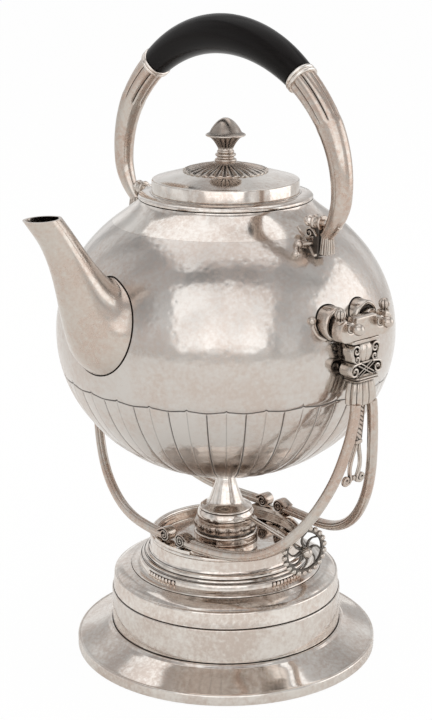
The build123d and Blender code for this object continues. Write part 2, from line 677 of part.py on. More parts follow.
def cradle(side):
    """Round-bottomed, flared notch for one trunnion, in the yoke's own sketch."""
    radius = TRUNNION_RADIUS + RUNNING_FIT
    top = YOKE_TOP + EDGE
    spread = radius + (top - TRUNNION_HEIGHT) * tan(radians(CRADLE_FLARE))
    centre = side * TRUNNION_SPREAD
    with Locations((centre, TRUNNION_HEIGHT)):
        Circle(radius, mode=Mode.SUBTRACT)
    outline(
        (centre - radius, TRUNNION_HEIGHT),
        (centre + radius, TRUNNION_HEIGHT),
        (centre + spread, top),
        (centre - spread, top),
        mode=Mode.SUBTRACT,
    )


with BuildPart() as yoke:
    with BuildSketch(yoke_plane):
        with Locations((0, (YOKE_BOTTOM + YOKE_TOP) / 2)):
            RectangleRounded(2 * (TRUNNION_SPREAD + YOKE_END), YOKE_TOP - YOKE_BOTTOM, YOKE_ROUND)
        cradle(-1)
        cradle(1)
    extrude(amount=YOKE_DEPTH)
save(yoke.part, "yoke_front")
save(yoke.part.mirror(Plane.XZ), "yoke_back")

with BuildPart() as yoke_finials:
    for side in (-1, 1):
        finial_x = side * (TRUNNION_SPREAD + FINIAL_OFFSET)
        with BuildSketch(Plane(origin=(finial_x, -YOKE_MIDDLE, YOKE_TOP - YOKE_ROUND / 2))):
            Circle(FINIAL_STEM)
        extrude(amount=YOKE_ROUND / 2 + FINIAL_NECK + FINIAL_BALL)
        with BuildSketch(Plane(origin=(finial_x, -YOKE_MIDDLE, YOKE_TOP + SEAT_GAP))):
            Circle(FINIAL_COLLAR)
        extrude(amount=FINIAL_NECK / 2)
        with Locations((finial_x, -YOKE_MIDDLE, YOKE_TOP + FINIAL_NECK + FINIAL_BALL * 0.85)):
            Sphere(FINIAL_BALL)
    mirror(about=Plane.XZ)
    add(yoke.part, mode=Mode.SUBTRACT)
    add(yoke.part.mirror(Plane.XZ), mode=Mode.SUBTRACT)
save(yoke_finials.part, "yoke_finials")

with BuildPart() as capital:
    pot_top = TIER_TOP + POT_HEIGHT
    with BuildSketch(middle_plane.offset(-CAPITAL_DEPTH / 2)):
        for side in (-1, 1):
            outline(
                (0, YOKE_BOTTOM),
                (side * CAPITAL_HALF, YOKE_BOTTOM),
                (side * (CAPITAL_HALF - EDGE), pot_top),
                (0, pot_top),
            )
            outline(
                (0, TIER_TOP),
                (side * POT_HALF * 0.73, TIER_TOP),
                (side * POT_HALF, TIER_TOP + POT_HEIGHT * 0.66),
                (side * POT_HALF * 0.82, pot_top),
                (0, pot_top),
            )
            # Each scroll runs a little way into the plate, so that the two don't only touch in a line.
            with Locations((side * (CAPITAL_HALF - POT_SCROLL), pot_top - POT_SCROLL + EDGE)):
                Circle(POT_SCROLL)
            with Locations((side * (POT_HALF + EDGE), TIER_TOP + POT_FOOT_SCROLL * 0.65)):
                Circle(POT_FOOT_SCROLL)
            outline((0, TIER_BASE), (side * TIER_HALF, TIER_BASE), (side * TIER_HALF * 0.75, TIER_TOP), (0, TIER_TOP))
    extrude(amount=CAPITAL_DEPTH)
    with BuildSketch(middle_plane.offset(-CAPITAL_DEPTH / 2 - LATTICE_RELIEF)):
        for side in (-1, 1):
            with Locations((side * (TIER_HALF + LATTICE_RELIEF), TIER_BASE + VOLUTE_RADIUS - EDGE / 2)):
                Circle(VOLUTE_RADIUS)
                Circle(VOLUTE_RADIUS * 0.3, mode=Mode.SUBTRACT)
            with Locations((0, TIER_BASE + TIER_HEIGHT / 2)):
                Rectangle(2 * (TIER_HALF + LATTICE_RELIEF), LATTICE_BAR, rotation=side * LATTICE_ANGLE)
    extrude(amount=CAPITAL_DEPTH + 2 * LATTICE_RELIEF)
    for height, inset in ((0, RING_STEP), (RING_HEIGHT / 2, 0)):
        with BuildSketch(Plane(origin=(0, -YOKE_MIDDLE, SKIRT_TOP + height))):
            RectangleRounded(RING_WIDTH - inset, RING_DEPTH - inset, SKIRT_ROUND)
        extrude(amount=RING_HEIGHT / 2)
    for height, width, depth in (
        (SKIRT_BOTTOM, SKIRT_BOTTOM_WIDTH, SKIRT_BOTTOM_DEPTH), (SKIRT_TOP, SKIRT_TOP_WIDTH, SKIRT_TOP_DEPTH)
    ):
        with BuildSketch(Plane(origin=(0, -YOKE_MIDDLE, height))):
            RectangleRounded(width, depth, SKIRT_ROUND)
    loft()
    # Upright grooves part the skirt into flutes, on its outer face and its inner one.
    groove_floor = SKIRT_TOP_DEPTH / 2 - EDGE
    for near, far in ((-SKIRT_BOTTOM_DEPTH, -groove_floor), (groove_floor, SKIRT_BOTTOM_DEPTH)):
        with BuildSketch(middle_plane.offset(near)):
            for flute in range(1, SKIRT_FLUTES):
                share = flute / SKIRT_FLUTES - 0.5
                outline(
                    (share * SKIRT_BOTTOM_WIDTH - EDGE / 2, SKIRT_BOTTOM),
                    (share * SKIRT_BOTTOM_WIDTH + EDGE / 2, SKIRT_BOTTOM),
                    (share * SKIRT_TOP_WIDTH + EDGE / 2, SKIRT_TOP),
                    (share * SKIRT_TOP_WIDTH - EDGE / 2, SKIRT_TOP),
                )
        extrude(amount=far - near, mode=Mode.SUBTRACT)
save(capital.part, "capital_front")
save(capital.part.mirror(Plane.XZ), "capital_back")

STRAP_END = SKIRT_BOTTOM - PENDANT_LENGTH
LOOP_END = STRAP_END - LOOP_LENGTH
with BuildPart() as pendant:
    with BuildSketch(middle_plane.offset(-PENDANT_DEPTH / 2)):
        outline(
            (-PENDANT_HALF, SKIRT_BOTTOM),
            (PENDANT_HALF, SKIRT_BOTTOM),
            (PENDANT_HALF * 0.73, STRAP_END),
            (-PENDANT_HALF * 0.73, STRAP_END),
        )
    extrude(amount=PENDANT_DEPTH)
    # Crossing grooves on both faces stand for the strap's braid.
    for face in (-PENDANT_DEPTH / 2 - EDGE, PENDANT_DEPTH / 2 - BRAID_GROOVE):
        with BuildSketch(middle_plane.offset(face)):
            for step in range(BRAID_STEPS):
                with Locations((0, SKIRT_BOTTOM - PENDANT_LENGTH * (step + 0.5) / BRAID_STEPS)):
                    Rectangle(3 * PENDANT_HALF, BRAID_GROOVE, rotation=45)
                    Rectangle(3 * PENDANT_HALF, BRAID_GROOVE, rotation=-45)
        extrude(amount=EDGE + BRAID_GROOVE, mode=Mode.SUBTRACT)
    with BuildSketch(middle_plane.offset(-PENDANT_DEPTH / 2)):
        with Locations((0, STRAP_END - PENDANT_BAND * 0.4)):
            Rectangle(2 * PENDANT_HALF, PENDANT_BAND)
    extrude(amount=PENDANT_DEPTH)
    loop_radius = LOOP_WIDTH / 2
    for wire, cut in ((0, Mode.ADD), (LOOP_WIRE, Mode.SUBTRACT)):
        with BuildSketch(middle_plane.offset(-LOOP_WIRE)):
            with Locations((0, STRAP_END - LOOP_NECK * 1.5)):
                Circle(LOOP_NECK - wire)
            with Locations((0, LOOP_END + 2 * loop_radius)):
                Circle(loop_radius - wire)
            make_hull()
        extrude(amount=2 * LOOP_WIRE, mode=cut)
    with BuildSketch(middle_plane.offset(-LOOP_WIRE)):
        for side in (-1, 1):
            with Locations((side * LOOP_SPREAD * 0.57, LOOP_END + LOOP_SCROLL * 1.4)):
                Rectangle(LOOP_WIDTH, LOOP_SCROLL * 0.85, rotation=-side * 24)
            with Locations((side * LOOP_SPREAD, LOOP_END + LOOP_SCROLL * 0.7)):
                Circle(LOOP_SCROLL)
    extrude(amount=2 * LOOP_WIRE)
save(pendant.part, "pendant_front")
save(pendant.part.mirror(Plane.XZ), "pendant_back")

# ---------------------------------------------------------------- kettle body
with BuildPart() as egg:
    with BuildSketch(Plane.XZ):
        half_egg()
    revolve(axis=Axis.Z)

root_height = BODY_CENTRE + SPOUT_ROOT_RISE
spout_root = Plane(origin=(-body_radius(root_height), 0, root_height), x_dir=(0, 1, 0), z_dir=(-1, 0, 0.25))
with BuildPart() as kettle_body:
    with BuildSketch(Plane.XZ):
        half_egg()
        half_egg(SHEET, mode=Mode.SUBTRACT)
    revolve(axis=Axis.Z)
    with BuildSketch(Plane.XY.offset(BODY_CENTRE)):
        Circle(MOUTH_RADIUS)
    extrude(amount=BODY_HALF_HEIGHT + SHEET, mode=Mode.SUBTRACT)
    with BuildSketch(spout_root.offset(-SPOUT_ROOT_RADIUS / 2)):
        with HexLocations(STRAINER_PITCH / 2, STRAINER_ROWS, STRAINER_ROWS):
            Circle(STRAINER_HOLE)
    extrude(amount=SPOUT_ROOT_RADIUS, mode=Mode.SUBTRACT)
    # A thin groove runs up the body between each two panels, to their level upper edge.
    with BuildSketch(Plane.XZ):
        half_egg()
        half_egg(PANEL_GROOVE, mode=Mode.SUBTRACT)
        with Locations((0, PANEL_TOP)):
            Rectangle(2 * BODY_RADIUS, 2 * BODY_RADIUS, align=(Align.CENTER, Align.MIN), mode=Mode.SUBTRACT)
        with Locations((0, BASE_HEIGHT)):
            Rectangle(2 * BASE_RADIUS, 2 * SHEET, mode=Mode.SUBTRACT)
    groove = revolve(axis=Axis.Z, revolution_arc=GROOVE_ANGLE, mode=Mode.PRIVATE)
    for panel in range(PANELS):
        add(groove.rotate(Axis.Z, panel * 360.0 / PANELS), mode=Mode.SUBTRACT)
save(kettle_body.part, "kettle_body")

with BuildPart() as neck_ring:
    with BuildSketch(Plane.XZ):
        flare_foot = SHOULDER_RING_RADIUS + FLARE_WIDTH
        flare_middle = SHOULDER_RING_RADIUS + FLARE_WIDTH / 4
        with BuildLine():
            flare = ThreePointArc(
                (flare_foot, body_height(flare_foot) - SEAT_GAP),
                (flare_middle, body_height(flare_middle) + NECK_RISE * 0.175),
                (SHOULDER_RING_RADIUS, SEAT_HEIGHT - NECK_RISE * 0.57),
            )
            Polyline(
                flare @ 1,
                (SHOULDER_RING_RADIUS, SEAT_HEIGHT - NECK_LEDGE),
                (SHOULDER_RING_RADIUS - NECK_LEDGE * 0.4, SEAT_HEIGHT - NECK_LEDGE / 2),
                (LID_RADIUS + 2 * EDGE, SEAT_HEIGHT - EDGE),
                (LID_RADIUS + EDGE, SEAT_HEIGHT),
                (MOUTH_RADIUS, SEAT_HEIGHT),
                (MOUTH_RADIUS, BODY_CENTRE),
                (flare_foot, BODY_CENTRE),
                flare @ 0,
            )
        make_face()
        half_egg(mode=Mode.SUBTRACT)
    revolve(axis=Axis.Z)
save(neck_ring.part, "neck_ring")

# Spout: round sections from the body to the level-cut mouth
SPOUT_TIP_HEIGHT = SEAT_HEIGHT + SPOUT_TIP_RISE
SPOUT_OUT = SPOUT_REACH - BODY_RADIUS
SPOUT_UP = SPOUT_TIP_HEIGHT - BODY_CENTRE
SPOUT_SECTIONS = [
    # x, height, radius, lean of the section's normal from level (degrees)
    (-BODY_RADIUS + SPOUT_OUT * 0.591, BODY_CENTRE + SPOUT_UP * 0.167, SPOUT_ROOT_RADIUS, 14),
    (-BODY_RADIUS + SPOUT_OUT * 0.136, BODY_CENTRE + SPOUT_UP * 0.249, SPOUT_ROOT_RADIUS * 0.83, 26),
    (-BODY_RADIUS - SPOUT_OUT * 0.156, BODY_CENTRE + SPOUT_UP * 0.399, SPOUT_ROOT_RADIUS * 0.60, 46),
    (-BODY_RADIUS - SPOUT_OUT * 0.370, BODY_CENTRE + SPOUT_UP * 0.575, SPOUT_ROOT_RADIUS * 0.43, 60),
    (-BODY_RADIUS - SPOUT_OUT * 0.597, BODY_CENTRE + SPOUT_UP * 0.766, SPOUT_TIP_RADIUS * 1.10, 58),
    (-BODY_RADIUS - SPOUT_OUT * 1.065, BODY_CENTRE + SPOUT_UP * 1.068, SPOUT_TIP_RADIUS, 48),
]


def spout_solid(inset):
    """Lofted spout, smaller all round by the inset."""
    with BuildPart() as horn:
        for x, height, radius, lean in SPOUT_SECTIONS:
            normal = (-cos(radians(lean)), 0, sin(radians(lean)))
            with BuildSketch(Plane(origin=(x, 0, height), x_dir=(0, 1, 0), z_dir=normal)):
                Circle(radius - inset)
        loft()
    return horn.part


spout_outer = spout_solid(0)
spout_inner = spout_solid(SHEET)
with BuildPart() as spout:
    add(spout_outer)
    add(spout_inner, mode=Mode.SUBTRACT)
    split(bisect_by=Plane.XY.offset(SPOUT_TIP_HEIGHT), keep=Keep.BOTTOM)
    add(egg.part, mode=Mode.SUBTRACT)
save(spout.part, "spout")

# ---------------------------------------------------------------- trunnions
lug_plane = Plane(origin=(0, -LUG_FACE, 0), x_dir=(1, 0, 0), z_dir=(0, -1, 0))
# A lug reaches in to the body at its far upper corner, where the body has curved away most.
far_radius = body_radius(TRUNNION_HEIGHT + LUG_RADIUS)
LUG_DEPTH = LUG_FACE - sqrt(far_radius**2 - (TRUNNION_SPREAD + LUG_RADIUS) ** 2) + SHEET


def lug_pair(side, bore):
    """Round lugs on both flanks of the body, for one trunnion axis."""
    with BuildPart() as pair:
        with BuildSketch(lug_plane):
            with Locations((side * TRUNNION_SPREAD, TRUNNION_HEIGHT)):
                Circle(LUG_RADIUS)
                Circle(bore, mode=Mode.SUBTRACT)
        extrude(amount=-LUG_DEPTH)
        with BuildSketch(lug_plane):
            with Locations((side * TRUNNION_SPREAD, TRUNNION_HEIGHT)):
                Circle(LUG_RADIUS)
                Circle(LUG_RADIUS - LUG_RIM, mode=Mode.SUBTRACT)
        extrude(amount=-LUG_DISH, mode=Mode.SUBTRACT)
        mirror(about=Plane.XZ)
        add(egg.part, mode=Mode.SUBTRACT)
    return pair.part


def trunnion_pair(side):
    """Pins on one trunnion axis, each with a ball in front of its yoke."""
    with BuildPart() as pair:
        with BuildSketch(lug_plane.offset(-TRUNNION_ROOT)):
            with Locations((side * TRUNNION_SPREAD, TRUNNION_HEIGHT)):
                Circle(TRUNNION_RADIUS)
        extrude(amount=TRUNNION_REACH - LUG_FACE + TRUNNION_ROOT)
        with Locations((side * TRUNNION_SPREAD, -TRUNNION_REACH, TRUNNION_HEIGHT)):
            Sphere(TRUNNION_BALL)
        mirror(about=Plane.XZ)
    return pair.part


save(lug_pair(-1, TRUNNION_RADIUS + RUNNING_FIT), "tilt_lugs")
save(lug_pair(1, TRUNNION_RADIUS), "rest_lugs")
save(trunnion_pair(-1), "tilt_trunnions")
save(trunnion_pair(1), "rest_trunnions")

# ---------------------------------------------------------------- lid
with BuildPart() as lid_plate:
    with BuildSketch(Plane.XZ):
        outline(
            (LID_RADIUS - SHEET, SEAT_HEIGHT),
            (LID_RADIUS, SEAT_HEIGHT),
            (LID_RADIUS, BAND_TOP - EDGE),
            (LID_RADIUS - EDGE, BAND_TOP),
            (ROSETTE_RADIUS - ROSETTE_RIM, ROSETTE_SEAT),
            (STUD_RADIUS, ROSETTE_SEAT),
            (STUD_RADIUS, ROSETTE_SEAT - SHEET),
            (ROSETTE_RADIUS - ROSETTE_RIM, ROSETTE_SEAT - SHEET),
            (LID_RADIUS - SHEET, BAND_TOP - SHEET),
        )
    revolve(axis=Axis.Z)
save(lid_plate.part, "lid_plate")

with BuildPart() as lid_bezel:
    bezel_radius = MOUTH_RADIUS - SEAT_GAP
    with BuildSketch(Plane.XZ):
        outline(
            (bezel_radius - BEZEL_WALL, SEAT_HEIGHT - BEZEL_DEPTH),
            (bezel_radius, SEAT_HEIGHT - BEZEL_DEPTH),
            (bezel_radius, SEAT_HEIGHT),
            (LID_RADIUS - SHEET, SEAT_HEIGHT),
            (LID_RADIUS - SHEET, SEAT_HEIGHT + BEZEL_FLANGE),
            (bezel_radius - BEZEL_WALL, SEAT_HEIGHT + BEZEL_FLANGE),
        )
    revolve(axis=Axis.Z)
save(lid_bezel.part, "lid_bezel")

with BuildPart() as rosette:
    rosette_middle = KNOB_FOOT_RADIUS + (ROSETTE_RADIUS - KNOB_FOOT_RADIUS) * 0.36
    middle_height = ROSETTE_SEAT + ROSETTE_RISE * 0.66
    with BuildSketch(Plane.XZ):
        outline(
            (STUD_RADIUS, ROSETTE_SEAT),
            (ROSETTE_RADIUS - ROSETTE_RIM, ROSETTE_SEAT),
            (ROSETTE_RADIUS - EDGE, ROSETTE_SEAT - EDGE),
            (ROSETTE_RADIUS, ROSETTE_SEAT + FLUTE_DEPTH),
            (rosette_middle, middle_height),
            (KNOB_FOOT_RADIUS, KNOB_BASE),
            (STUD_RADIUS, KNOB_BASE),
        )
    revolve(axis=Axis.Z)
    add(lid_plate.part, mode=Mode.SUBTRACT)
    # The flutes run out from the knob's foot, over the rosette's edge.
    with BuildSketch(Plane.XZ):
        outline(
            (rosette_middle, middle_height - FLUTE_DEPTH),
            (ROSETTE_RADIUS + EDGE, ROSETTE_SEAT - EDGE),
            (ROSETTE_RADIUS + EDGE, middle_height),
            (rosette_middle, middle_height + EDGE),
        )
    flute = extrude(amount=FLUTE_WIDTH / 2, both=True, mode=Mode.PRIVATE)
    for leaf in range(ROSETTE_FLUTES):
        add(flute.rotate(Axis.Z, leaf * 360.0 / ROSETTE_FLUTES), mode=Mode.SUBTRACT)
save(rosette.part, "rosette")


def knob_points(radius, shares):
    """Corners of a stretch of the knob's outline."""
    return [(radius * across, KNOB_BASE + KNOB_HEIGHT * up) for across, up in shares]


def knob_outline():
    """Half section of the knob: rings, a fluted cone, a flange and a smooth dome."""
    with BuildLine() as edge:
        stem = Polyline(
            (0, KNOB_BASE),
            *knob_points(KNOB_FOOT_RADIUS, KNOB_STEM),
            *knob_points(KNOB_FLANGE_RADIUS, KNOB_CONE),
        )
        dome = Spline(
            stem @ 1,
            *knob_points(KNOB_FLANGE_RADIUS, KNOB_DOME),
            (0, KNOB_BASE + KNOB_HEIGHT),
            tangents=((-0.5, 1), (-1, 0)),
        )
        Line(dome @ 1, stem @ 0)
    make_face(edge.edges())


with BuildPart() as knob:
    with BuildSketch(Plane.XZ):
        knob_outline()
    revolve(axis=Axis.Z)
    with BuildSketch(Plane.XY.offset(KNOB_BASE)):
        Circle(STUD_RADIUS)
    extrude(amount=STUD_GRIP, mode=Mode.SUBTRACT)
    # Flutes climb the cone from the stem to just under the flange.
    cone_foot = knob_points(KNOB_FOOT_RADIUS, KNOB_STEM)[-1]
    cone_top = knob_points(KNOB_FLANGE_RADIUS, KNOB_CONE)[0]
    with BuildSketch(Plane.XZ):
        outline(
            (cone_foot[0] - FLUTE_DEPTH, cone_foot[1] + EDGE),
            (cone_top[0] - FLUTE_DEPTH, cone_top[1]),
            (cone_top[0] + EDGE, cone_top[1]),
            (cone_top[0] + EDGE, cone_foot[1] + EDGE),
        )
    knob_flute = extrude(amount=FLUTE_WIDTH / 2, both=True, mode=Mode.PRIVATE)
    for leaf in range(KNOB_FLUTES):
        add(knob_flute.rotate(Axis.Z, leaf * 360.0 / KNOB_FLUTES), mode=Mode.SUBTRACT)
save(knob.part, "knob")

with BuildPart() as knob_stud:
    stud_foot = ROSETTE_SEAT - SHEET - NUT_HEIGHT - STUD_TAIL
    with BuildSketch(Plane.XY.offset(stud_foot)):
        Circle(STUD_RADIUS)
    extrude(amount=KNOB_BASE + STUD_GRIP - stud_foot)
save(knob_stud.part, "knob_stud")

with BuildPart() as knob_nut:
    with BuildSketch(Plane.XY.offset(ROSETTE_SEAT - SHEET)):
        RegularPolygon(NUT_RADIUS, 6)
        Circle(STUD_RADIUS, mode=Mode.SUBTRACT)
    extrude(amount=-NUT_HEIGHT)
save(knob_nut.part, "knob_nut")

# ---------------------------------------------------------------- handle


def top_arc_plane(angle):
    """Section plane on the top arc, at an angle from the top towards -Y."""
    turn = radians(angle)
    return Plane(
        origin=(0, -HANDLE_ARC * sin(turn), HANDLE_CENTRE + HANDLE_ARC * cos(turn)),
        x_dir=(1, 0, 0),
        z_dir=(0, -cos(turn), -sin(turn)),
    )


def side_arc_plane(angle):
    """Section plane on the side arc, at an angle above level, at -Y."""
    reach = HANDLE_ARC - HANDLE_SIDE_ARC
    across = reach * sin(radians(HANDLE_BREAK))
    height = HANDLE_CENTRE + reach * cos(radians(HANDLE_BREAK))
    turn = radians(angle)
    return Plane(
        origin=(0, -across - HANDLE_SIDE_ARC * cos(turn), height + HANDLE_SIDE_ARC * sin(turn)),
        x_dir=(1, 0, 0),
        z_dir=(0, sin(turn), -cos(turn)),
    )


with BuildPart() as tang:
    with BuildLine():
        tang_angle = GRIP_ANGLE + FERRULE_ANGLE + TANG_ANGLE
        tang_path = ThreePointArc(
            top_arc_plane(-tang_angle).origin, top_arc_plane(0).origin, top_arc_plane(tang_angle).origin
        )
    with BuildSketch(top_arc_plane(-tang_angle)):
        Circle(TANG_RADIUS)
    sweep(path=tang_path)
save(tang.part, "grip_tang")

with BuildPart() as grip:
    for step in range(-4, 5):
        share = abs(step) / 4
        with BuildSketch(top_arc_plane(GRIP_ANGLE * step / 4)):
            Circle(GRIP_RADIUS - (GRIP_RADIUS - GRIP_END_RADIUS) * share**1.7)
    loft()
    add(tang.part, mode=Mode.SUBTRACT)
save(grip.part, "grip")

with BuildPart() as ferrule:
    for share, radius in ((0, FERRULE_RADIUS - EDGE), (0.25, FERRULE_RADIUS), (0.5, FERRULE_RADIUS - EDGE)):
        with BuildSketch(top_arc_plane(GRIP_ANGLE + FERRULE_ANGLE * share)):
            Circle(radius)
    loft()
    for share, radius in ((0.5, FERRULE_RADIUS - EDGE), (0.75, FERRULE_RADIUS), (1, FERRULE_RADIUS - EDGE)):
        with BuildSketch(top_arc_plane(GRIP_ANGLE + FERRULE_ANGLE * share)):
            Circle(radius)
    loft()
    add(tang.part, mode=Mode.SUBTRACT)
save(ferrule.part, "ferrule_front")
save(ferrule.part.mirror(Plane.XZ), "ferrule_back")

hinge_plane = Plane(origin=(0, 0, HINGE_HEIGHT), x_dir=(1, 0, 0), z_dir=(0, -1, 0))
with BuildPart() as limb:
    sleeve_start = GRIP_ANGLE + FERRULE_ANGLE
    for share in (0, 0.5, 1):
        with BuildSketch(top_arc_plane(sleeve_start + (HANDLE_BREAK - sleeve_start) * share)):
            Circle(SLEEVE_RADIUS + (LIMB_RADIUS - SLEEVE_RADIUS) * share)
    loft()
    for share in (0, 0.25, 0.5, 0.75, 1):
        sweep_angle = 90 - HANDLE_BREAK + HANDLE_END
        with BuildSketch(side_arc_plane(90 - HANDLE_BREAK - sweep_angle * share)):
            Circle(LIMB_RADIUS + (LIMB_END_RADIUS - LIMB_RADIUS) * share)
    loft()
    add(tang.part, mode=Mode.SUBTRACT)
    with BuildSketch(hinge_plane.offset(KNUCKLE_OUTER)):
        Circle(HINGE_PIN_RADIUS)
    extrude(amount=HINGE_REACH - KNUCKLE_OUTER, mode=Mode.SUBTRACT)
    with BuildSketch(Plane.XZ.offset(KNUCKLE_OUTER + SEAT_GAP)):
        with Locations((0, HINGE_HEIGHT)):
            Rectangle(4 * LIMB_END_RADIUS, 4 * KNUCKLE_RADIUS)
    extrude(amount=-KNUCKLE_LENGTH - SEAT_GAP, mode=Mode.SUBTRACT)
save(limb.part, "limb_front")
save(limb.part.mirror(Plane.XZ), "limb_back")

with BuildPart() as terminal:
    with BuildSketch(hinge_plane.offset(TERMINAL_INNER)):
        with Locations((0, -TERMINAL_DROP / 2)):
            Rectangle(TERMINAL_WIDTH, TERMINAL_DROP)
        Circle(TERMINAL_WIDTH / 2)
        Circle(HINGE_PIN_RADIUS, mode=Mode.SUBTRACT)
    extrude(amount=TERMINAL_DEPTH)
    add(limb.part, mode=Mode.SUBTRACT)
save(terminal.part, "terminal_front")
save(terminal.part.mirror(Plane.XZ), "terminal_back")

with BuildPart() as hinge_pins:
    with BuildSketch(hinge_plane.offset(HINGE_BALL_PLACE)):
        Circle(HINGE_PIN_RADIUS)
    extrude(amount=HINGE_REACH - HINGE_BALL_PLACE)
    with Locations((0, -HINGE_BALL_PLACE, HINGE_HEIGHT)):
        Sphere(HINGE_BALL)
    mirror(about=Plane.XZ)
save(hinge_pins.part, "hinge_pins")

with BuildPart() as handle_lug:
    with BuildSketch(hinge_plane.offset(KNUCKLE_INNER)):
        Circle(KNUCKLE_RADIUS)
        with Locations((0, -TERMINAL_DROP / 2)):
            Rectangle(TERMINAL_WIDTH, TERMINAL_DROP)
    extrude(amount=KNUCKLE_LENGTH)
    scroll_height = HINGE_HEIGHT - HINGE_BALL - SEAT_GAP - HINGE_SCROLL
    scroll_place = -HINGE_BALL_PLACE - HINGE_BALL / 3
    for width, radius in ((SCROLL_WIDTH * 0.8, HINGE_SCROLL), (SCROLL_WIDTH, HINGE_SCROLL - EDGE)):
        with BuildSketch(Plane.YZ.offset(-width / 2)):
            with Locations((scroll_place, scroll_height)):
                Circle(radius)
        extrude(amount=width)
    plate_inner = KNUCKLE_INNER - LUG_PLATE_INSET
    plate_outer = KNUCKLE_OUTER - LUG_GAP * 5
    with BuildSketch(Plane.YZ.offset(-LUG_PLATE_WIDTH / 2)):
        outline(
            (-plate_inner, body_height(plate_inner) + LUG_PLATE_RAISE),
            (-plate_outer, body_height(plate_outer) + LUG_PLATE_RAISE),
            (-plate_outer, body_height(plate_outer) - HINGE_SCROLL),
            (-plate_inner, body_height(plate_inner) - HINGE_SCROLL),
        )
    extrude(amount=LUG_PLATE_WIDTH)
    for side in (-1, 1):
        for x, inset in zip(LUG_BALL_SPREAD, LUG_BALL_INSET):
            y = HINGE_BALL_PLACE - inset
            with Locations((side * x, -y, body_height(sqrt(x**2 + y**2)) + LUG_BALL_RAISE)):
                Sphere(LUG_BALL)
    add(egg.part, mode=Mode.SUBTRACT)
    with BuildSketch(hinge_plane.offset(KNUCKLE_INNER - EDGE)):
        Circle(HINGE_PIN_RADIUS + RUNNING_FIT)
    extrude(amount=KNUCKLE_LENGTH + 2 * EDGE, mode=Mode.SUBTRACT)
save(handle_lug.part, "handle_lug_front")
save(handle_lug.part.mirror(Plane.XZ), "handle_lug_back")
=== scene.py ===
"""Dresses the spirit kettle and its stand: smooth silver pieces, ornament, finishes, floor and light.

Laid out as a Blender add-on and run as a script. Sizes are millimetres until a mesh is written.
"""

from functools import partial
from math import atan2, cos, pi, radians, sin, sqrt

import bmesh
import bpy
import numpy as np
from bpy.props import FloatProperty, FloatVectorProperty, IntProperty, PointerProperty
from mathutils import Matrix, Vector
from mathutils.bvhtree import BVHTree


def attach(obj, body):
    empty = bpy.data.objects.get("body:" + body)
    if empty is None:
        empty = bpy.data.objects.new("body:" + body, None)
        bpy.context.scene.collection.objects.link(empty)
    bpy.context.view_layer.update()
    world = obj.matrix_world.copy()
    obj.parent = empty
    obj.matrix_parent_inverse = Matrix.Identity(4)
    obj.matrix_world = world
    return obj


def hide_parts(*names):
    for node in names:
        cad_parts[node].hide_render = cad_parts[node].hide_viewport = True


bl_info = {
    "name": "Spirit kettle on stand",
    "version": (1, 0, 0),
    "blender": (4, 5, 0),
    "location": "View3D > Sidebar > Kettle",
    "description": "Builds the silver of a spirit kettle on its stand around its CAD solids",
    "category": "Object",
}

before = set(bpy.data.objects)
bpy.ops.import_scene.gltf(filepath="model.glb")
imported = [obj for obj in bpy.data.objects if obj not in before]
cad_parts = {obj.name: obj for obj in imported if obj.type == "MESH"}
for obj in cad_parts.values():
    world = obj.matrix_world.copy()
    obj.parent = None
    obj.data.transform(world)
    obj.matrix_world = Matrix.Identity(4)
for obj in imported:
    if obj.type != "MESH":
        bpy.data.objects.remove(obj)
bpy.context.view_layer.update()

MM = 0.001
TAU = 2 * pi

# ------------------------------------------------------------------ colours


def linear(text):
    """RGBA in linear light from an sRGB hex colour."""
    values = [int(text[i:i + 2], 16) / 255 for i in (1, 3, 5)]
    return tuple(v / 12.92 if v <= 0.04045 else ((v + 0.055) / 1.055) ** 2.4 for v in values) + (1.0,)


# ------------------------------------------------------------------ settings


class FinishSettings(bpy.types.PropertyGroup):
    """Colours of the finishes."""

    silver: FloatVectorProperty(name="Silver", description="Polished silver", subtype="COLOR",
                                size=4, default=linear("#e3ded8"))
    hammered: FloatVectorProperty(name="Hammered silver", description="Silver from the planishing hammer",
                                  subtype="COLOR", size=4, default=linear("#cbc6c1"))
    cast: FloatVectorProperty(name="Cast silver", description="Silver of cast and chased ornament",
                              subtype="COLOR", size=4, default=linear("#c6bfb7"))
    worn_silver: FloatVectorProperty(name="Worn silver", description="Silver in its warmer patches",
                                     subtype="COLOR", size=4, default=linear("#bda99c"))
    # This dark colour also paints shade: on dark pieces that stand for shadow, and on the knob dome's darker
    # bottom.
    tarnish: FloatVectorProperty(name="Tarnish", description="Oxidised silver in the recesses",
                                 subtype="COLOR", size=4, default=linear("#1f1a16"))
    ebony: FloatVectorProperty(name="Ebony", description="Stained hardwood of the grip",
                               subtype="COLOR", size=4, default=linear("#0b0a0a"))


class StandSettings(bpy.types.PropertyGroup):
    """Sizes of the stand's repeated pieces."""

    beads: IntProperty(name="Beads", description="Beads in each short strip of the collar",
                       default=9, min=1)
    bead_radius: FloatProperty(name="Bead radius", description="Radius of a bead in the strips",
                               default=0.95 * MM, unit="LENGTH")
    wheel_beads: IntProperty(name="Wheel beads", description="Beads round the regulator's wheel",
                             default=22, min=3)
    wheel_radius: FloatProperty(name="Wheel radius", description="Pitch circle of the wheel's beads",
                                default=12.0 * MM, unit="LENGTH")


class KettleSettings(bpy.types.PropertyGroup):
    """Sizes of the kettle's repeated forms."""

    panels: IntProperty(name="Panels", description="Lobed panels of the lower body", default=28, min=3)
    groove: FloatProperty(name="Groove depth", description="Depth of the lines between the panels",
                          default=0.55 * MM, unit="LENGTH")
    rosette_flutes: IntProperty(name="Rosette flutes", description="Leaves of the lid's rosette",
                                default=32, min=3)
    knob_flutes: IntProperty(name="Knob flutes", description="Flutes under the knob's flange",
                             default=16, min=3)


class KettleScene(bpy.types.PropertyGroup):
    """Everything that a user would change."""

    finish: PointerProperty(type=FinishSettings)
    stand: PointerProperty(type=StandSettings)
    kettle: PointerProperty(type=KettleSettings)


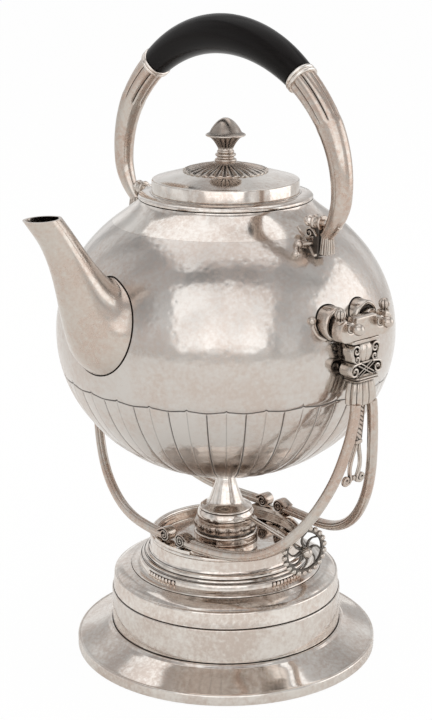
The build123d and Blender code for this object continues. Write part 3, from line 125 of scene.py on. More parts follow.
# ------------------------------------------------------------------ nodes and materials


def add(tree, kind, inputs=None, **settings):
    """Add a node, apply its settings, and fill or link its inputs."""
    node = tree.nodes.new(kind)
    for key, value in settings.items():
        setattr(node, key, value)
    for key, value in (inputs or {}).items():
        if isinstance(value, bpy.types.NodeSocket):
            tree.links.new(value, node.inputs[key])
        else:
            node.inputs[key].default_value = value
    return node


def arithmetic(tree, operation, a, b=0.0):
    """Result of one operation on numbers or sockets."""
    return add(tree, "ShaderNodeMath", {0: a, 1: b}, operation=operation).outputs[0]


def noise(tree, place, scale, detail, roughness=0.5):
    """Fractal noise from 0 to 1, of so many grains to the metre."""
    return add(tree, "ShaderNodeTexNoise", {"Vector": place, "Scale": scale, "Detail": detail,
                                            "Roughness": roughness}).outputs["Fac"]


def remap(tree, value, start, end, low, high):
    """The value's range from start to end stretched over low to high."""
    return add(tree, "ShaderNodeMapRange", {"Value": value, "From Min": start, "From Max": end,
                                            "To Min": low, "To Max": high}).outputs["Result"]


def blend(tree, factor, a, b, kind="RGBA"):
    """Mix of two colours, or of two numbers."""
    return add(tree, "ShaderNodeMix", {"Factor": factor, "A": a, "B": b}, data_type=kind).outputs["Result"]


def bump(tree, strength, distance, height, **normal):
    """Normal over a relief as deep as the distance, in metres."""
    return add(tree, "ShaderNodeBump", {"Strength": strength, "Distance": distance, "Height": height,
                                        **normal}).outputs["Normal"]


def emptied(owner):
    """Node tree of a material or world, with nothing in it."""
    owner.use_nodes = True
    owner.node_tree.nodes.clear()
    return owner.node_tree


def started(name):
    """New material, its tree and the object's own coordinates."""
    material = bpy.data.materials.new(name)
    tree = emptied(material)
    return material, tree, add(tree, "ShaderNodeTexCoord").outputs["Object"]


def shaded(tree, inputs):
    """Close a material's tree with one shader."""
    shader = add(tree, "ShaderNodeBsdfPrincipled", inputs).outputs["BSDF"]
    add(tree, "ShaderNodeOutputMaterial", {"Surface": shader})


def silver(name, roughness, hammer=0.0, patches=0.5, shade="silver"):
    """Sterling silver, hand polished: soft reflections, warmer worn patches, dark oxidised recesses.

    Its darkening attribute says where a piece's recesses are oxidised, and where painted shade is laid on it.
    """
    finish = bpy.context.scene.spirit_kettle.finish
    material, tree, place = started(name)
    # Patches of handling wear are 20 to 40 mm across, and firescale mottling 2 to 3 mm.
    wear = noise(tree, place, 32.0, 3.0, 0.6)
    mottle = noise(tree, place, 420.0, 4.0, 0.7)
    both = arithmetic(tree, "MULTIPLY", wear, mottle)
    tint = remap(tree, both, 0.17, 0.34, 0.0, patches)
    base = blend(tree, tint, tuple(getattr(finish, shade)), tuple(finish.worn_silver))
    # Darkening attribute: oxidised recesses, and on some pieces painted shade.
    oxide_and_shade = add(tree, "ShaderNodeAttribute", attribute_name="tarnish").outputs["Fac"]
    colour = blend(tree, oxide_and_shade, base, tuple(finish.tarnish))
    gloss = remap(tree, both, 0.15, 0.36, roughness * 0.7, roughness * 1.6)
    rough = blend(tree, oxide_and_shade, gloss, 0.55, "FLOAT")
    # Planishing marks of a hammer about 3 mm wide, and hairline polishing scratches.
    dents = add(tree, "ShaderNodeTexVoronoi", {"Vector": place, "Scale": 300.0, "Smoothness": 1.0},
                feature="SMOOTH_F1").outputs["Distance"]
    marks = bump(tree, hammer, 0.0003, dents)
    hairs = bump(tree, 0.04, 0.0001, noise(tree, place, 1500.0, 2.0), Normal=marks)
    shaded(tree, {"Base Color": colour, "Metallic": 1.0, "Roughness": rough, "Normal": hairs})
    return material


def ebony(name):
    """Ebonised hardwood, french polished: nearly black, with a soft clear gloss over faint grain."""
    finish = bpy.context.scene.spirit_kettle.finish
    material, tree, place = started(name)
    along = add(tree, "ShaderNodeMapping", {"Vector": place, "Scale": (900.0, 60.0, 900.0)}).outputs["Vector"]
    grain = noise(tree, along, 1.0, 4.0)
    shaded(tree, {"Base Color": blend(tree, grain, tuple(finish.ebony), linear("#161211")), "IOR": 1.36,
                  "Roughness": remap(tree, grain, 0.0, 1.0, 0.18, 0.3), "Specular IOR Level": 0.18,
                  "Normal": bump(tree, 0.06, 0.0002, grain)})
    return material


def plain(name, colour, rough, metallic=0.0):
    """A small hidden part: turned brass, bright steel or cotton wick, with slight mottling."""
    material, tree, place = started(name)
    grain = noise(tree, place, 700.0, 3.0)
    dark = tuple(0.6 * v for v in linear(colour)[:3]) + (1.0,)
    shaded(tree, {"Base Color": blend(tree, grain, linear(colour), dark), "Metallic": metallic,
                  "Roughness": rough, "Normal": bump(tree, 0.1, 0.0002, grain)})
    return material


FINISHES = {
    "polished silver": lambda name: silver(name, 0.1, patches=0.6),
    "burnished silver": lambda name: silver(name, 0.06, patches=1.0),
    "planished silver": lambda name: silver(name, 0.16, hammer=0.3, patches=0.5, shade="hammered"),
    "chased silver": lambda name: silver(name, 0.18, patches=0.7, shade="cast"),
    "worn silver": lambda name: silver(name, 0.2, patches=1.2, shade="cast"),
    "ebonised hardwood": ebony,
    "turned brass": lambda name: plain(name, "#a98b4d", 0.35, 1.0),
    "bright steel": lambda name: plain(name, "#8c8a86", 0.35, 1.0),
    "cotton wick": lambda name: plain(name, "#cfc6b2", 0.9),
}


def finish_named(name):
    """The material of a finish, made when first asked for."""
    return bpy.data.materials.get(name) or FINISHES[name](name)


# ------------------------------------------------------------------ curves in millimetres


def arc(first, middle, last, count=12):
    """Points on the circle through three points of a plane, both ends included."""
    a, b, c = (np.array(p, float) for p in (first, middle, last))
    rows = np.array([b - a, c - a])
    centre = np.linalg.solve(rows, 0.5 * np.array([b @ b - a @ a, c @ c - a @ a]))
    spoke = a - centre
    turn = [atan2(*(p - centre)[::-1]) - atan2(spoke[1], spoke[0]) for p in (b, c)]
    middle_turn, full_turn = (t % TAU for t in turn)
    if middle_turn > full_turn:
        full_turn -= TAU
    angles = atan2(spoke[1], spoke[0]) + np.linspace(0, full_turn, count)
    radius = np.hypot(*spoke)
    return [tuple(centre + radius * np.array([cos(t), sin(t)])) for t in angles]


def trace(*parts):
    """Line through the parts: a point each, or three points and a count for an arc."""
    points = []
    for part in parts:
        points += arc(*part) if isinstance(part[0], tuple) else [part]
    return points


def curve(points, count=8):
    """Smooth line through the points, with so many steps to a span."""
    p = np.array(points, float)
    p = np.vstack([2 * p[0] - p[1], p, 2 * p[-1] - p[-2]])
    out = []
    for a, b, c, d in zip(p, p[1:], p[2:], p[3:]):
        for t in np.arange(count) / count:
            out.append(0.5 * (2 * b + (c - a) * t + (2 * a - 5 * b + 4 * c - d) * t**2
                              + (3 * b - a - 3 * c + d) * t**3))
    out.append(p[-2])
    return [tuple(q) for q in out]


def ring_of(count, radius, power=2.0):
    """Closed outline: a circle, or a squarer form with a higher power."""
    t = np.arange(count) / count * TAU
    c, s = np.cos(t), np.sin(t)
    return radius * np.stack([np.sign(v) * np.abs(v) ** (2 / power) for v in (c, s)], 1)


# ------------------------------------------------------------------ shells: (corners, faces)


def lathe(profile, segments=160, closed=True):
    """Shell turned about Z. A closed profile is a loop, an open one starts and ends on the axis."""
    p = np.array(profile, float)
    t = np.arange(segments) / segments * TAU
    corners = np.stack([np.outer(np.cos(t), p[:, 0]), np.outer(np.sin(t), p[:, 0]),
                        np.tile(p[:, 1], (segments, 1))], 2).reshape(-1, 3)
    n = len(p)
    faces = []
    for i in range(segments):
        a, b = i * n, (i + 1) % segments * n
        for j in range(n if closed else n - 1):
            k = (j + 1) % n
            faces.append((a + j, b + j, b + k, a + k))
    return corners, faces


def skin(rings, caps=True, loop=False):
    """Shell through rings that have as many corners each."""
    rings = np.array(rings, float)
    m, n = rings.shape[:2]
    faces = []
    for i in range(m if loop else m - 1):
        a, b = i * n, (i + 1) % m * n
        for j in range(n):
            k = (j + 1) % n
            faces.append((a + j, a + k, b + k, b + j))
    if caps and not loop:
        faces.append(tuple(range(n))[::-1])
        faces.append(tuple(range((m - 1) * n, m * n)))
    return rings.reshape(-1, 3), faces


def runs(path, side=None):
    """Tangent, side and third direction at each point of a path, without twist."""
    p = np.array(path, float)
    tangent = np.gradient(p, axis=0)
    tangent /= np.linalg.norm(tangent, axis=1)[:, None]
    across = np.array(side if side is not None else np.cross(tangent[0], [0.31, 0.52, 0.79]), float)
    sides = []
    for t in tangent:
        across = across - (across @ t) * t
        across = across / np.linalg.norm(across)
        sides.append(across)
    sides = np.array(sides)
    return p, tangent, sides, np.cross(tangent, sides)


def tube(path, radius, sides=20, side=None, flatten=1.0, rounded=False, power=2.0, shape=1.0):
    """Shell round a path. The radius is a number or one for each point, and shape scales each corner."""
    p, tangent, u, v = runs(path, side)
    radii = np.broadcast_to(np.array(radius, float), len(p)).copy()
    if rounded:
        steps = np.linspace(0, pi / 2, 6)[1:]
        head = [(p[0] - tangent[0] * radii[0] * sin(a), radii[0] * cos(a), 0) for a in steps[::-1]]
        tail = [(p[-1] + tangent[-1] * radii[-1] * sin(a), radii[-1] * cos(a), -1) for a in steps]
    else:
        head, tail = [], []
    section = ring_of(sides, 1.0, power) * np.broadcast_to(np.array(shape, float), sides)[:, None]
    stations = head + [(p[i], radii[i], i) for i in range(len(p))] + tail
    rings = [c + r * (np.outer(section[:, 0], u[i]) + flatten * np.outer(section[:, 1], v[i]))
             for c, r, i in stations]
    return skin(rings, caps=not rounded)


def ball(centre, radius, rows=14, columns=24, stretch=1.0, z_axis=(0, 0, 1)):
    """Sphere, or an egg stretched along its own Z."""
    t = np.linspace(-pi / 2, pi / 2, rows)
    shell = lathe([(radius * cos(a), radius * stretch * sin(a)) for a in t], columns, closed=False)
    return moved(shell, centre, z_axis)


def moved(shell, centre=(0, 0, 0), z_axis=(0, 0, 1), x_axis=(1, 0, 0)):
    """The shell with its own axes turned to the given ones and its origin at the centre."""
    z = np.array(z_axis, float)
    z /= np.linalg.norm(z)
    x = np.array(x_axis, float)
    x -= (x @ z) * z
    if np.linalg.norm(x) < 1e-6:
        x = np.cross([0, 1, 0], z)
    x /= np.linalg.norm(x)
    turn = np.stack([x, np.cross(z, x), z])
    return np.array(shell[0]) @ turn + np.array(centre, float), shell[1]


def mirrored(shell, axis):
    """The shell reflected in x (0) or y (1), still facing outwards."""
    corners = np.array(shell[0])
    corners[:, axis] *= -1
    return corners, [tuple(reversed(f)) for f in shell[1]]


def both_sides(shells, axis=0):
    """The shells and their mirror images."""
    return list(shells) + [mirrored(s, axis) for s in shells]


def pulled_in(outline, distance):
    """A closed outline moved inwards by a small distance."""
    p = np.array(outline, float)
    area = np.sum(p[:, 0] * np.roll(p[:, 1], -1) - np.roll(p[:, 0], -1) * p[:, 1])
    before, after = p - np.roll(p, 1, 0), np.roll(p, -1, 0) - p
    before /= np.linalg.norm(before, axis=1)[:, None]
    after /= np.linalg.norm(after, axis=1)[:, None]
    middle = before + after
    middle /= np.linalg.norm(middle, axis=1)[:, None]
    inward = np.stack([-middle[:, 1], middle[:, 0]], 1) * np.sign(area)
    stretch = 1 / np.clip(np.sum(middle * before, axis=1), 0.5, 1)
    return p + inward * (distance * stretch)[:, None]


def slab(outline, near, far, edge=0.4):
    """Plate with rounded edges: an outline in x and z, between two distances out along -Y."""
    rings = []
    for share, y in ((1.9, far), (1, far), (0.3, far - 0.3 * edge), (0, far - edge),
                     (0, near + edge), (0.3, near + 0.3 * edge), (1, near), (1.9, near)):
        p = pulled_in(outline, share * edge)
        rings.append(np.column_stack([p[:, 0], np.full(len(p), -y), p[:, 1]]))
    return skin(rings)


def rounded(half_x, half_y, corner, count=120):
    """Rectangle with round corners, in even steps from the middle of its right side."""
    a, b, bend = half_x - corner, half_y - corner, corner * pi / 2
    quarter = a + b + bend
    out = []
    for s in np.arange(count) / count * 4 * quarter:
        turn = int(s // quarter)
        d = s - turn * quarter
        d = quarter - d if turn % 2 else d
        if d < b:
            x, y = half_x, d
        elif d < b + bend:
            x, y = a + corner * cos((d - b) / corner), b + corner * sin((d - b) / corner)
        else:
            x, y = quarter - d, half_y
        out.append((x * (1, -1, -1, 1)[turn], y * (1, 1, -1, -1)[turn]))
    return np.array(out)


def stacked(sections, corner, flutes=0, count=120, centre=(0.0, 0.0)):
    """Shell through rounded rectangles: height, half widths in x and y, and depth of its flutes."""
    rings = []
    for z, half_x, half_y, depth in sections:
        p = rounded(half_x, half_y, min(corner, half_x, half_y) * 0.999, count)
        wave = (1 - np.abs(np.sin(pi * flutes * np.arange(count) / count)) ** 0.6) * bool(flutes)
        p = p + (pulled_in(p, 1.0) - p) * (depth * wave)[:, None] + centre
        rings.append(np.column_stack([p, np.full(count, z)]))
    return skin(rings)


def scroll(centre, radius, start, turns, inward=0.78, count=44):
    """Plane spiral from its outer end in to its eye. Negative turns run clockwise."""
    s = np.linspace(0, 1, count)
    r = radius * (1 - inward * s)
    a = radians(start) + TAU * turns * s
    return [(centre[0] + q * cos(t), centre[1] + q * sin(t)) for q, t in zip(r, a)]


def ribbon(points, near, far, thick, axis=1, power=3.5):
    """Strip of metal rolled along a plane line, as wide as from near to far along Y (1) or X (0)."""
    middle, half = (near + far) / 2, abs(far - near) / 2
    if axis:
        path, side = [(a, middle, b) for a, b in points], (0, 1, 0)
    else:
        path, side = [(middle, a, b) for a, b in points], (1, 0, 0)
    return tube(path, half, 16, side, thick / half, power=power)


# ------------------------------------------------------------------ pieces


RECESS_RAYS = 14
OPEN_SHARE = 0.1   # of the rays that may be met before a corner counts as closed in


def mark(mesh, label, values):
    """Store one number at each corner of a mesh."""
    layer = mesh.attributes.new(label, "FLOAT", "POINT")
    layer.data.foreach_set("value", np.array(values, np.float32))


def linked(name, data):
    """New object in the scene."""
    thing = bpy.data.objects.new(name, data)
    bpy.context.scene.collection.objects.link(thing)
    return thing


def coat(thing, finish):
    """Give an object one finish."""
    thing.data.materials.clear()
    thing.data.materials.append(finish_named(finish))


def corners_of(mesh):
    """Corners of a mesh, in metres."""
    corners = np.zeros(len(mesh.vertices) * 3, np.float32)
    mesh.vertices.foreach_get("co", corners)
    return corners.reshape(-1, 3)


def write_mesh(name, shells, sharp=35, **marks):
    """One mesh object from shells, in metres, facing outwards, smooth but for its sharp edges."""
    corners, faces, count = [], [], 0
    for shell_corners, shell_faces in shells:
        corners.append(np.array(shell_corners, float))
        faces.extend(tuple(count + i for i in face) for face in shell_faces)
        count += len(shell_corners)
    mesh = bpy.data.meshes.new(name)
    mesh.from_pydata((np.vstack(corners) * MM).tolist(), [], faces)
    for label, values in marks.items():
        mark(mesh, label, values)
    work = bmesh.new()
    work.from_mesh(mesh)
    bmesh.ops.remove_doubles(work, verts=work.verts, dist=1e-6)
    bmesh.ops.recalc_face_normals(work, faces=work.faces)
    work.to_mesh(mesh)
    work.free()
    mesh.shade_smooth()
    mesh.set_sharp_from_angle(angle=radians(sharp))
    return linked(name, mesh)


def mark_recesses(thing, reach, strength=1.0):
    """Write the tarnish attribute: how closed in each corner of the mesh is, within a reach in mm."""
    mesh = thing.data
    tree = BVHTree.FromPolygons([v.co for v in mesh.vertices], [p.vertices for p in mesh.polygons])
    golden = pi * (3 - sqrt(5))
    dirs = []
    for i in range(RECESS_RAYS):
        z = 0.12 + 0.85 * (i + 0.5) / RECESS_RAYS
        dirs.append(Vector((sqrt(1 - z * z) * cos(golden * i), sqrt(1 - z * z) * sin(golden * i), z)))
    values = np.zeros(len(mesh.vertices), np.float32)
    for i, vertex in enumerate(mesh.vertices):
        turn = Vector((0, 0, 1)).rotation_difference(vertex.normal)
        start = vertex.co + vertex.normal * 0.00003
        hits = 0.0
        for d in dirs:
            hit = tree.ray_cast(start, turn @ d, reach * MM)
            if hit[0] is not None:
                hits += 1 - hit[3] / (reach * MM)
        values[i] = hits / RECESS_RAYS
    mark(mesh, "tarnish", np.clip((values - OPEN_SHARE) / (1 - OPEN_SHARE) * 2.2 * strength, 0, 1))


def piece(name, shells, finish, body, nodes=(), sharp=35, recess=0.0, strength=1.0):
    """A finished piece: mesh, material, the body it rides on and the CAD nodes it stands for."""
    thing = shells if isinstance(shells, bpy.types.Object) else write_mesh(name, shells, sharp)
    coat(thing, finish)
    if recess:
        mark_recesses(thing, recess, strength)
    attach(thing, body)
    if nodes:
        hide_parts(*nodes)
    return thing


def front_and_back(name, shells, finish, body, node, **looks):
    """A piece at the front, at -Y, and its mirror image at the back."""
    for place, made in (("front", shells), ("back", [mirrored(s, 1) for s in shells])):
        piece(name + place, made, finish, body, [node + place], **looks)


def taken(thing):
    """The shell of an object's mesh in millimetres. The object is removed."""
    mesh = thing.data
    corners = corners_of(mesh).astype(float) / MM
    faces = [tuple(face.vertices) for face in mesh.polygons]
    bpy.data.objects.remove(thing)
    bpy.data.meshes.remove(mesh)
    return corners, faces


def seam_and_shade(name, shells, body, darkness=1.0):
    """Oxidised residue left by polishing where two pieces meet, and painted shade in shaded hollows and
    behind open work.
    """
    thing = write_mesh(name, shells)
    mark(thing.data, "tarnish", np.full(len(thing.data.vertices), darkness))
    piece(name, thing, "chased silver", body)


def hoop(radius, height, width=0.22):
    """Ring for a joint line round the axis."""
    return lathe([(radius + width, height), (radius, height + width),
                  (radius - width, height), (radius, height - width)], 160)


def carried(node, finish):
    """A CAD node that keeps its shape and gets its finish."""
    coat(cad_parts[node], finish)


# ------------------------------------------------------------------ geometry nodes


def node_group(name, sockets):
    """New geometry node group: its tree, the outputs of its input node, and its arithmetic."""
    tree = bpy.data.node_groups.new(name, "GeometryNodeTree")
    tree.interface.new_socket("Geometry", in_out="INPUT", socket_type="NodeSocketGeometry")
    for label, kind in sockets.items():
        tree.interface.new_socket(label, in_out="INPUT", socket_type="NodeSocket" + kind)
    tree.interface.new_socket("Geometry", in_out="OUTPUT", socket_type="NodeSocketGeometry")
    return tree, add(tree, "NodeGroupInput").outputs, partial(arithmetic, tree)


def close_group(tree, geometry, material):
    """End a group with real geometry in one material."""
    real = add(tree, "GeometryNodeRealizeInstances", {0: geometry}).outputs[0]
    coated = add(tree, "GeometryNodeSetMaterial", {"Geometry": real, "Material": material}).outputs[0]
    add(tree, "NodeGroupOutput", {"Geometry": coated})
    return tree


def flute_tree():
    """Node tree that presses flutes into a turned piece wherever its flute attribute is above 0."""
    name = "Flutes round an axis"
    if name in bpy.data.node_groups:
        return bpy.data.node_groups[name]
    tree, given, maths = node_group(name, {
        "Count": "Int", "Depth": "Float", "Width": "Float", "First angle": "Float", "Roundness": "Float",
        "Darkness": "Float", "Material": "Material"})
    place = add(tree, "ShaderNodeSeparateXYZ", {0: add(tree, "GeometryNodeInputPosition").outputs[0]}).outputs
    x, y = place["X"], place["Y"]
    angle = maths("SUBTRACT", maths("ARCTAN2", y, x), given["First angle"])
    turns = maths("DIVIDE", maths("MULTIPLY", angle, given["Count"]), TAU)
    from_line = maths("ABSOLUTE", maths("SUBTRACT", turns, maths("ROUND", turns)))
    radius = maths("SQRT", maths("ADD", maths("MULTIPLY", x, x), maths("MULTIPLY", y, y)))
    pitch = maths("DIVIDE", maths("MULTIPLY", radius, TAU), given["Count"])
    widths = maths("DIVIDE", maths("MULTIPLY", from_line, pitch), given["Width"])
    line = maths("SUBTRACT", 1.0, maths("MINIMUM", 1.0, widths))
    line = maths("MULTIPLY", line, line)
    lobe = maths("SUBTRACT", 1.0, maths("SINE", maths("MULTIPLY", from_line, pi)))
    where = add(tree, "GeometryNodeInputNamedAttribute", {"Name": "flute"}).outputs["Attribute"]
    relief = maths("ADD", maths("MULTIPLY", line, given["Depth"]),
                   maths("MULTIPLY", lobe, given["Roundness"]))
    inwards = maths("MULTIPLY", maths("MULTIPLY", where, relief), -1.0)
    normal = add(tree, "GeometryNodeInputNormal").outputs[0]
    shift = add(tree, "ShaderNodeVectorMath", {0: normal, "Scale": inwards}, operation="SCALE").outputs[0]
    cut = add(tree, "GeometryNodeSetPosition", {"Geometry": given["Geometry"], "Offset": shift}).outputs[0]
    dark = maths("MULTIPLY", maths("MULTIPLY", line, where), given["Darkness"])
    before = add(tree, "GeometryNodeInputNamedAttribute", {"Name": "tarnish"}).outputs["Attribute"]
    stored = add(tree, "GeometryNodeStoreNamedAttribute",
                 {"Geometry": cut, "Name": "tarnish", "Value": maths("MAXIMUM", dark, before)},
                 data_type="FLOAT", domain="POINT").outputs[0]
    return close_group(tree, stored, given["Material"])


def bead_tree():
    """Node tree that strings beads on arcs about Z, in groups that repeat round the axis."""
    name = "Beads on arcs"
    if name in bpy.data.node_groups:
        return bpy.data.node_groups[name]
    tree, given, maths = node_group(name, {
        "Groups": "Int", "Beads": "Int", "Radius": "Float", "Height": "Float", "Step": "Float",
        "Bead radius": "Float", "Material": "Material"})
    beads = given["Beads"]
    index = add(tree, "GeometryNodeInputIndex").outputs[0]
    group = maths("FLOOR", maths("DIVIDE", maths("ADD", index, 0.5), beads))
    within = maths("SUBTRACT", index, maths("MULTIPLY", group, beads))
    middle = maths("DIVIDE", maths("SUBTRACT", beads, 1.0), 2.0)
    angle = maths("ADD", maths("MULTIPLY", group, maths("DIVIDE", TAU, given["Groups"])),
                  maths("MULTIPLY", maths("SUBTRACT", within, middle), given["Step"]))
    x, y = (maths("MULTIPLY", maths(kind, angle), given["Radius"]) for kind in ("COSINE", "SINE"))
    place = add(tree, "ShaderNodeCombineXYZ", {"X": x, "Y": y, "Z": given["Height"]}).outputs[0]
    total = maths("MULTIPLY", given["Groups"], beads)
    points = add(tree, "GeometryNodeMeshLine", {"Count": total}).outputs[0]
    strung = add(tree, "GeometryNodeSetPosition", {"Geometry": points, "Position": place}).outputs[0]
    bead = add(tree, "GeometryNodeMeshUVSphere", {"Segments": 16, "Rings": 10,
                                                  "Radius": given["Bead radius"]}).outputs["Mesh"]
    soft = add(tree, "GeometryNodeSetShadeSmooth", {0: bead}).outputs[0]
    spin = add(tree, "ShaderNodeCombineXYZ", {"Z": angle}).outputs[0]
    placed = add(tree, "GeometryNodeInstanceOnPoints", {"Points": strung, "Instance": soft,
                                                        "Rotation": spin}).outputs[0]
    return close_group(tree, placed, given["Material"])


def grown(thing, tree, **values):
    """The object with the node tree applied, as a plain mesh."""
    modifier = thing.modifiers.new(tree.name, "NODES")
    modifier.node_group = tree
    for socket in tree.interface.items_tree:
        label = socket.name.replace(" ", "_").lower()
        if socket.in_out == "INPUT" and label in values:
            modifier[socket.identifier] = values[label]
    bpy.context.view_layer.update()
    evaluated = thing.evaluated_get(bpy.context.evaluated_depsgraph_get())
    mesh = bpy.data.meshes.new_from_object(evaluated)
    thing.modifiers.remove(modifier)
    old = thing.data
    thing.data = mesh
    mesh.name = thing.name
    bpy.data.meshes.remove(old)
    return thing


def fluted(name, shells, marks, dark=lambda c: np.zeros(len(c)), **values):
    """A turned piece with flutes. Marks and dark give its flute and its darkening from the corners in mm:
    oxidised recesses, and painted shade on the knob's dome.
    """
    thing = write_mesh(name, shells, 40)
    corners = corners_of(thing.data) / MM
    mark(thing.data, "flute", marks(corners))
    mark(thing.data, "tarnish", dark(corners))
    return grown(thing, flute_tree(), first_angle=0.0, darkness=1.0, material=finish_named("chased silver"),
                 **values)


def beaded(name, **values):
    """Strings of beads as one mesh."""
    return grown(linked(name, bpy.data.meshes.new(name)), bead_tree(), **values)


# ------------------------------------------------------------------ the kettle's own measures

BODY_A, BODY_B, BODY_Z = 88.18, 76.9, 175.7   # the body's ellipsoid: half width, half height, middle
BODY_FLOOR, FLOOR_RADIUS = 100.5, 18.4
MOUTH = 34.5
SHEET = 1.2
PANEL_TOP = 156.0
SEAT = 248.3   # where the lid sits
SPOUT_RIM = 249.3
YOKE_Y, PIN_X, PIN_Z = -95.0, 10.4, 196.5
BOSS_Y = -91.6   # outer face of the trunnions' bosses


def body_radius(z):
    """Distance of the body's surface from the axis."""
    return BODY_A * sqrt(max(0.0, 1 - ((z - BODY_Z) / BODY_B) ** 2))


def body_height(r):
    """Height of the body's upper surface."""
    return BODY_Z + BODY_B * sqrt(max(0.0, 1 - (r / BODY_A) ** 2))


def round_ring(r, angles, z):
    """Corners at one or more radii and heights, at the angles about Z."""
    return np.stack([r * np.cos(angles), r * np.sin(angles), 0 * angles + z], 1)


class SPIRITKETTLE_OT_body(bpy.types.Operator):
    """Body with its panels, and the neck ring"""

    bl_idname = "spirit_kettle.body"
    bl_label = "Body and neck"

    def execute(self, context):
        settings = context.scene.spirit_kettle.kettle
        steps = [0, .013, .026, .05, .1, .17, .24, .31, .38, .44, .474, .487, .5]
        steps += [1 - s for s in steps[-2:0:-1]]
        first = radians(-101.0)
        angles = np.array([first + (panel + s) * TAU / settings.panels
                           for panel in range(settings.panels) for s in steps])
        share = np.tile(steps, settings.panels)
        # The panels' upper line dips at each groove and peaks at the middle of each panel.
        wave = 0.75 * np.sin(share * pi) ** 2 + 0.7 * np.exp(-(np.abs(share - 0.5) / 0.03) ** 2)
        # Angles on the ellipse: floor, panel line and mouth.
        start = -np.arccos(FLOOR_RADIUS / BODY_A)
        line = np.arcsin((PANEL_TOP - BODY_Z) / BODY_B)
        top = np.arccos(MOUTH / BODY_A)
        lower = start + (line - start) * np.linspace(0, 1, 46) ** 0.9
        low, mid, high = (np.arcsin((PANEL_TOP + d - BODY_Z) / BODY_B) for d in (-0.5, 0, 0.5))
        rows = [(t, 0.0) for t in lower[:-1] if t < low - 0.01]
        rows += [(low, 0.0), ((low + mid) / 2, 0.5), (mid, 1.0), ((mid + high) / 2, 0.5), (high, 0.0)]
        rows += [(t, 0.0) for t in np.linspace(high, top, 46)[1:]]
        rings = [round_ring(0.0, angles, BODY_FLOOR), round_ring(0.7 * FLOOR_RADIUS, angles, BODY_FLOOR)]
        for t, groove in rows:
            z = BODY_B * sin(t) + BODY_Z + wave * max(0.0, 1 - abs(t - mid) / 0.25)
            r = BODY_A * np.sqrt(1 - ((z - BODY_Z) / BODY_B) ** 2) - 0.45 * groove
            rings.append(round_ring(r, angles, z))
        outer = len(rings)
        for t in np.linspace(top, start, 22):
            r = MOUTH if t == top else (BODY_A - SHEET) * cos(t)
            rings.append(round_ring(r, angles, (BODY_B - SHEET) * sin(t) + BODY_Z))
        rings.append(round_ring(0.0, angles, BODY_FLOOR + SHEET))
        shell = skin(rings, caps=False)
        x, y, heights = shell[0].T
        flute = np.clip((PANEL_TOP + np.tile(wave, len(rings)) - 0.2 - heights) / 0.6, 0, 1)
        flute *= np.arange(len(heights)) // len(angles) < outer
        flute *= np.clip((np.hypot(x, y) - FLOOR_RADIUS) / 6, 0, 1)
        grooves = np.zeros(len(rings))
        grooves[2:outer] = [groove for t, groove in rows]
        thing = write_mesh("body_shell", [shell], 50, flute=flute,
                           tarnish=0.85 * np.repeat(grooves ** 0.5, len(angles)))
        # Lines between the panels, then a finer one down the middle of each.
        panels = dict(count=settings.panels, material=finish_named("planished silver"))
        grown(thing, flute_tree(), depth=settings.groove, width=0.62 * MM, first_angle=first,
              roundness=0.35 * MM, darkness=0.95, **panels)
        grown(thing, flute_tree(), depth=0.1 * MM, width=0.5 * MM, first_angle=first + pi / settings.panels,
              roundness=0.0, darkness=0.35, **panels)
        piece("body_shell", thing, "planished silver", "kettle", ["kettle_body"])

        # The neck's foot flares out to lie on the body.
        wide, slim = 58.0, 45.2
        flare = [(r, body_height(r) + 0.05 + 1.7 * ((wide - r) / (wide - slim)) ** 3)
                 for r in np.linspace(wide, slim, 24)]
        ring = trace(
            *flare, (44.5, 244.3), (44.2, 245.0), ((44.4, 245.2), (44.7, 246.0), (44.3, 246.8), 7),
            (43.8, 247.2), (38.7, 247.9), (38.4, SEAT), (MOUTH + 0.3, SEAT), (MOUTH, SEAT - 0.3),
            *[(r, body_height(r) - 1.0) for r in (MOUTH, 46.0, 57.0)])
        piece("neck_collar", [lathe(ring, 200)], "polished silver", "kettle", ["neck_ring"])
        seam_and_shade("neck_seams", [hoop(44.45, 245.1, 0.2), hoop(38.4, 248.0, 0.25)], "kettle")
        return {"FINISHED"}


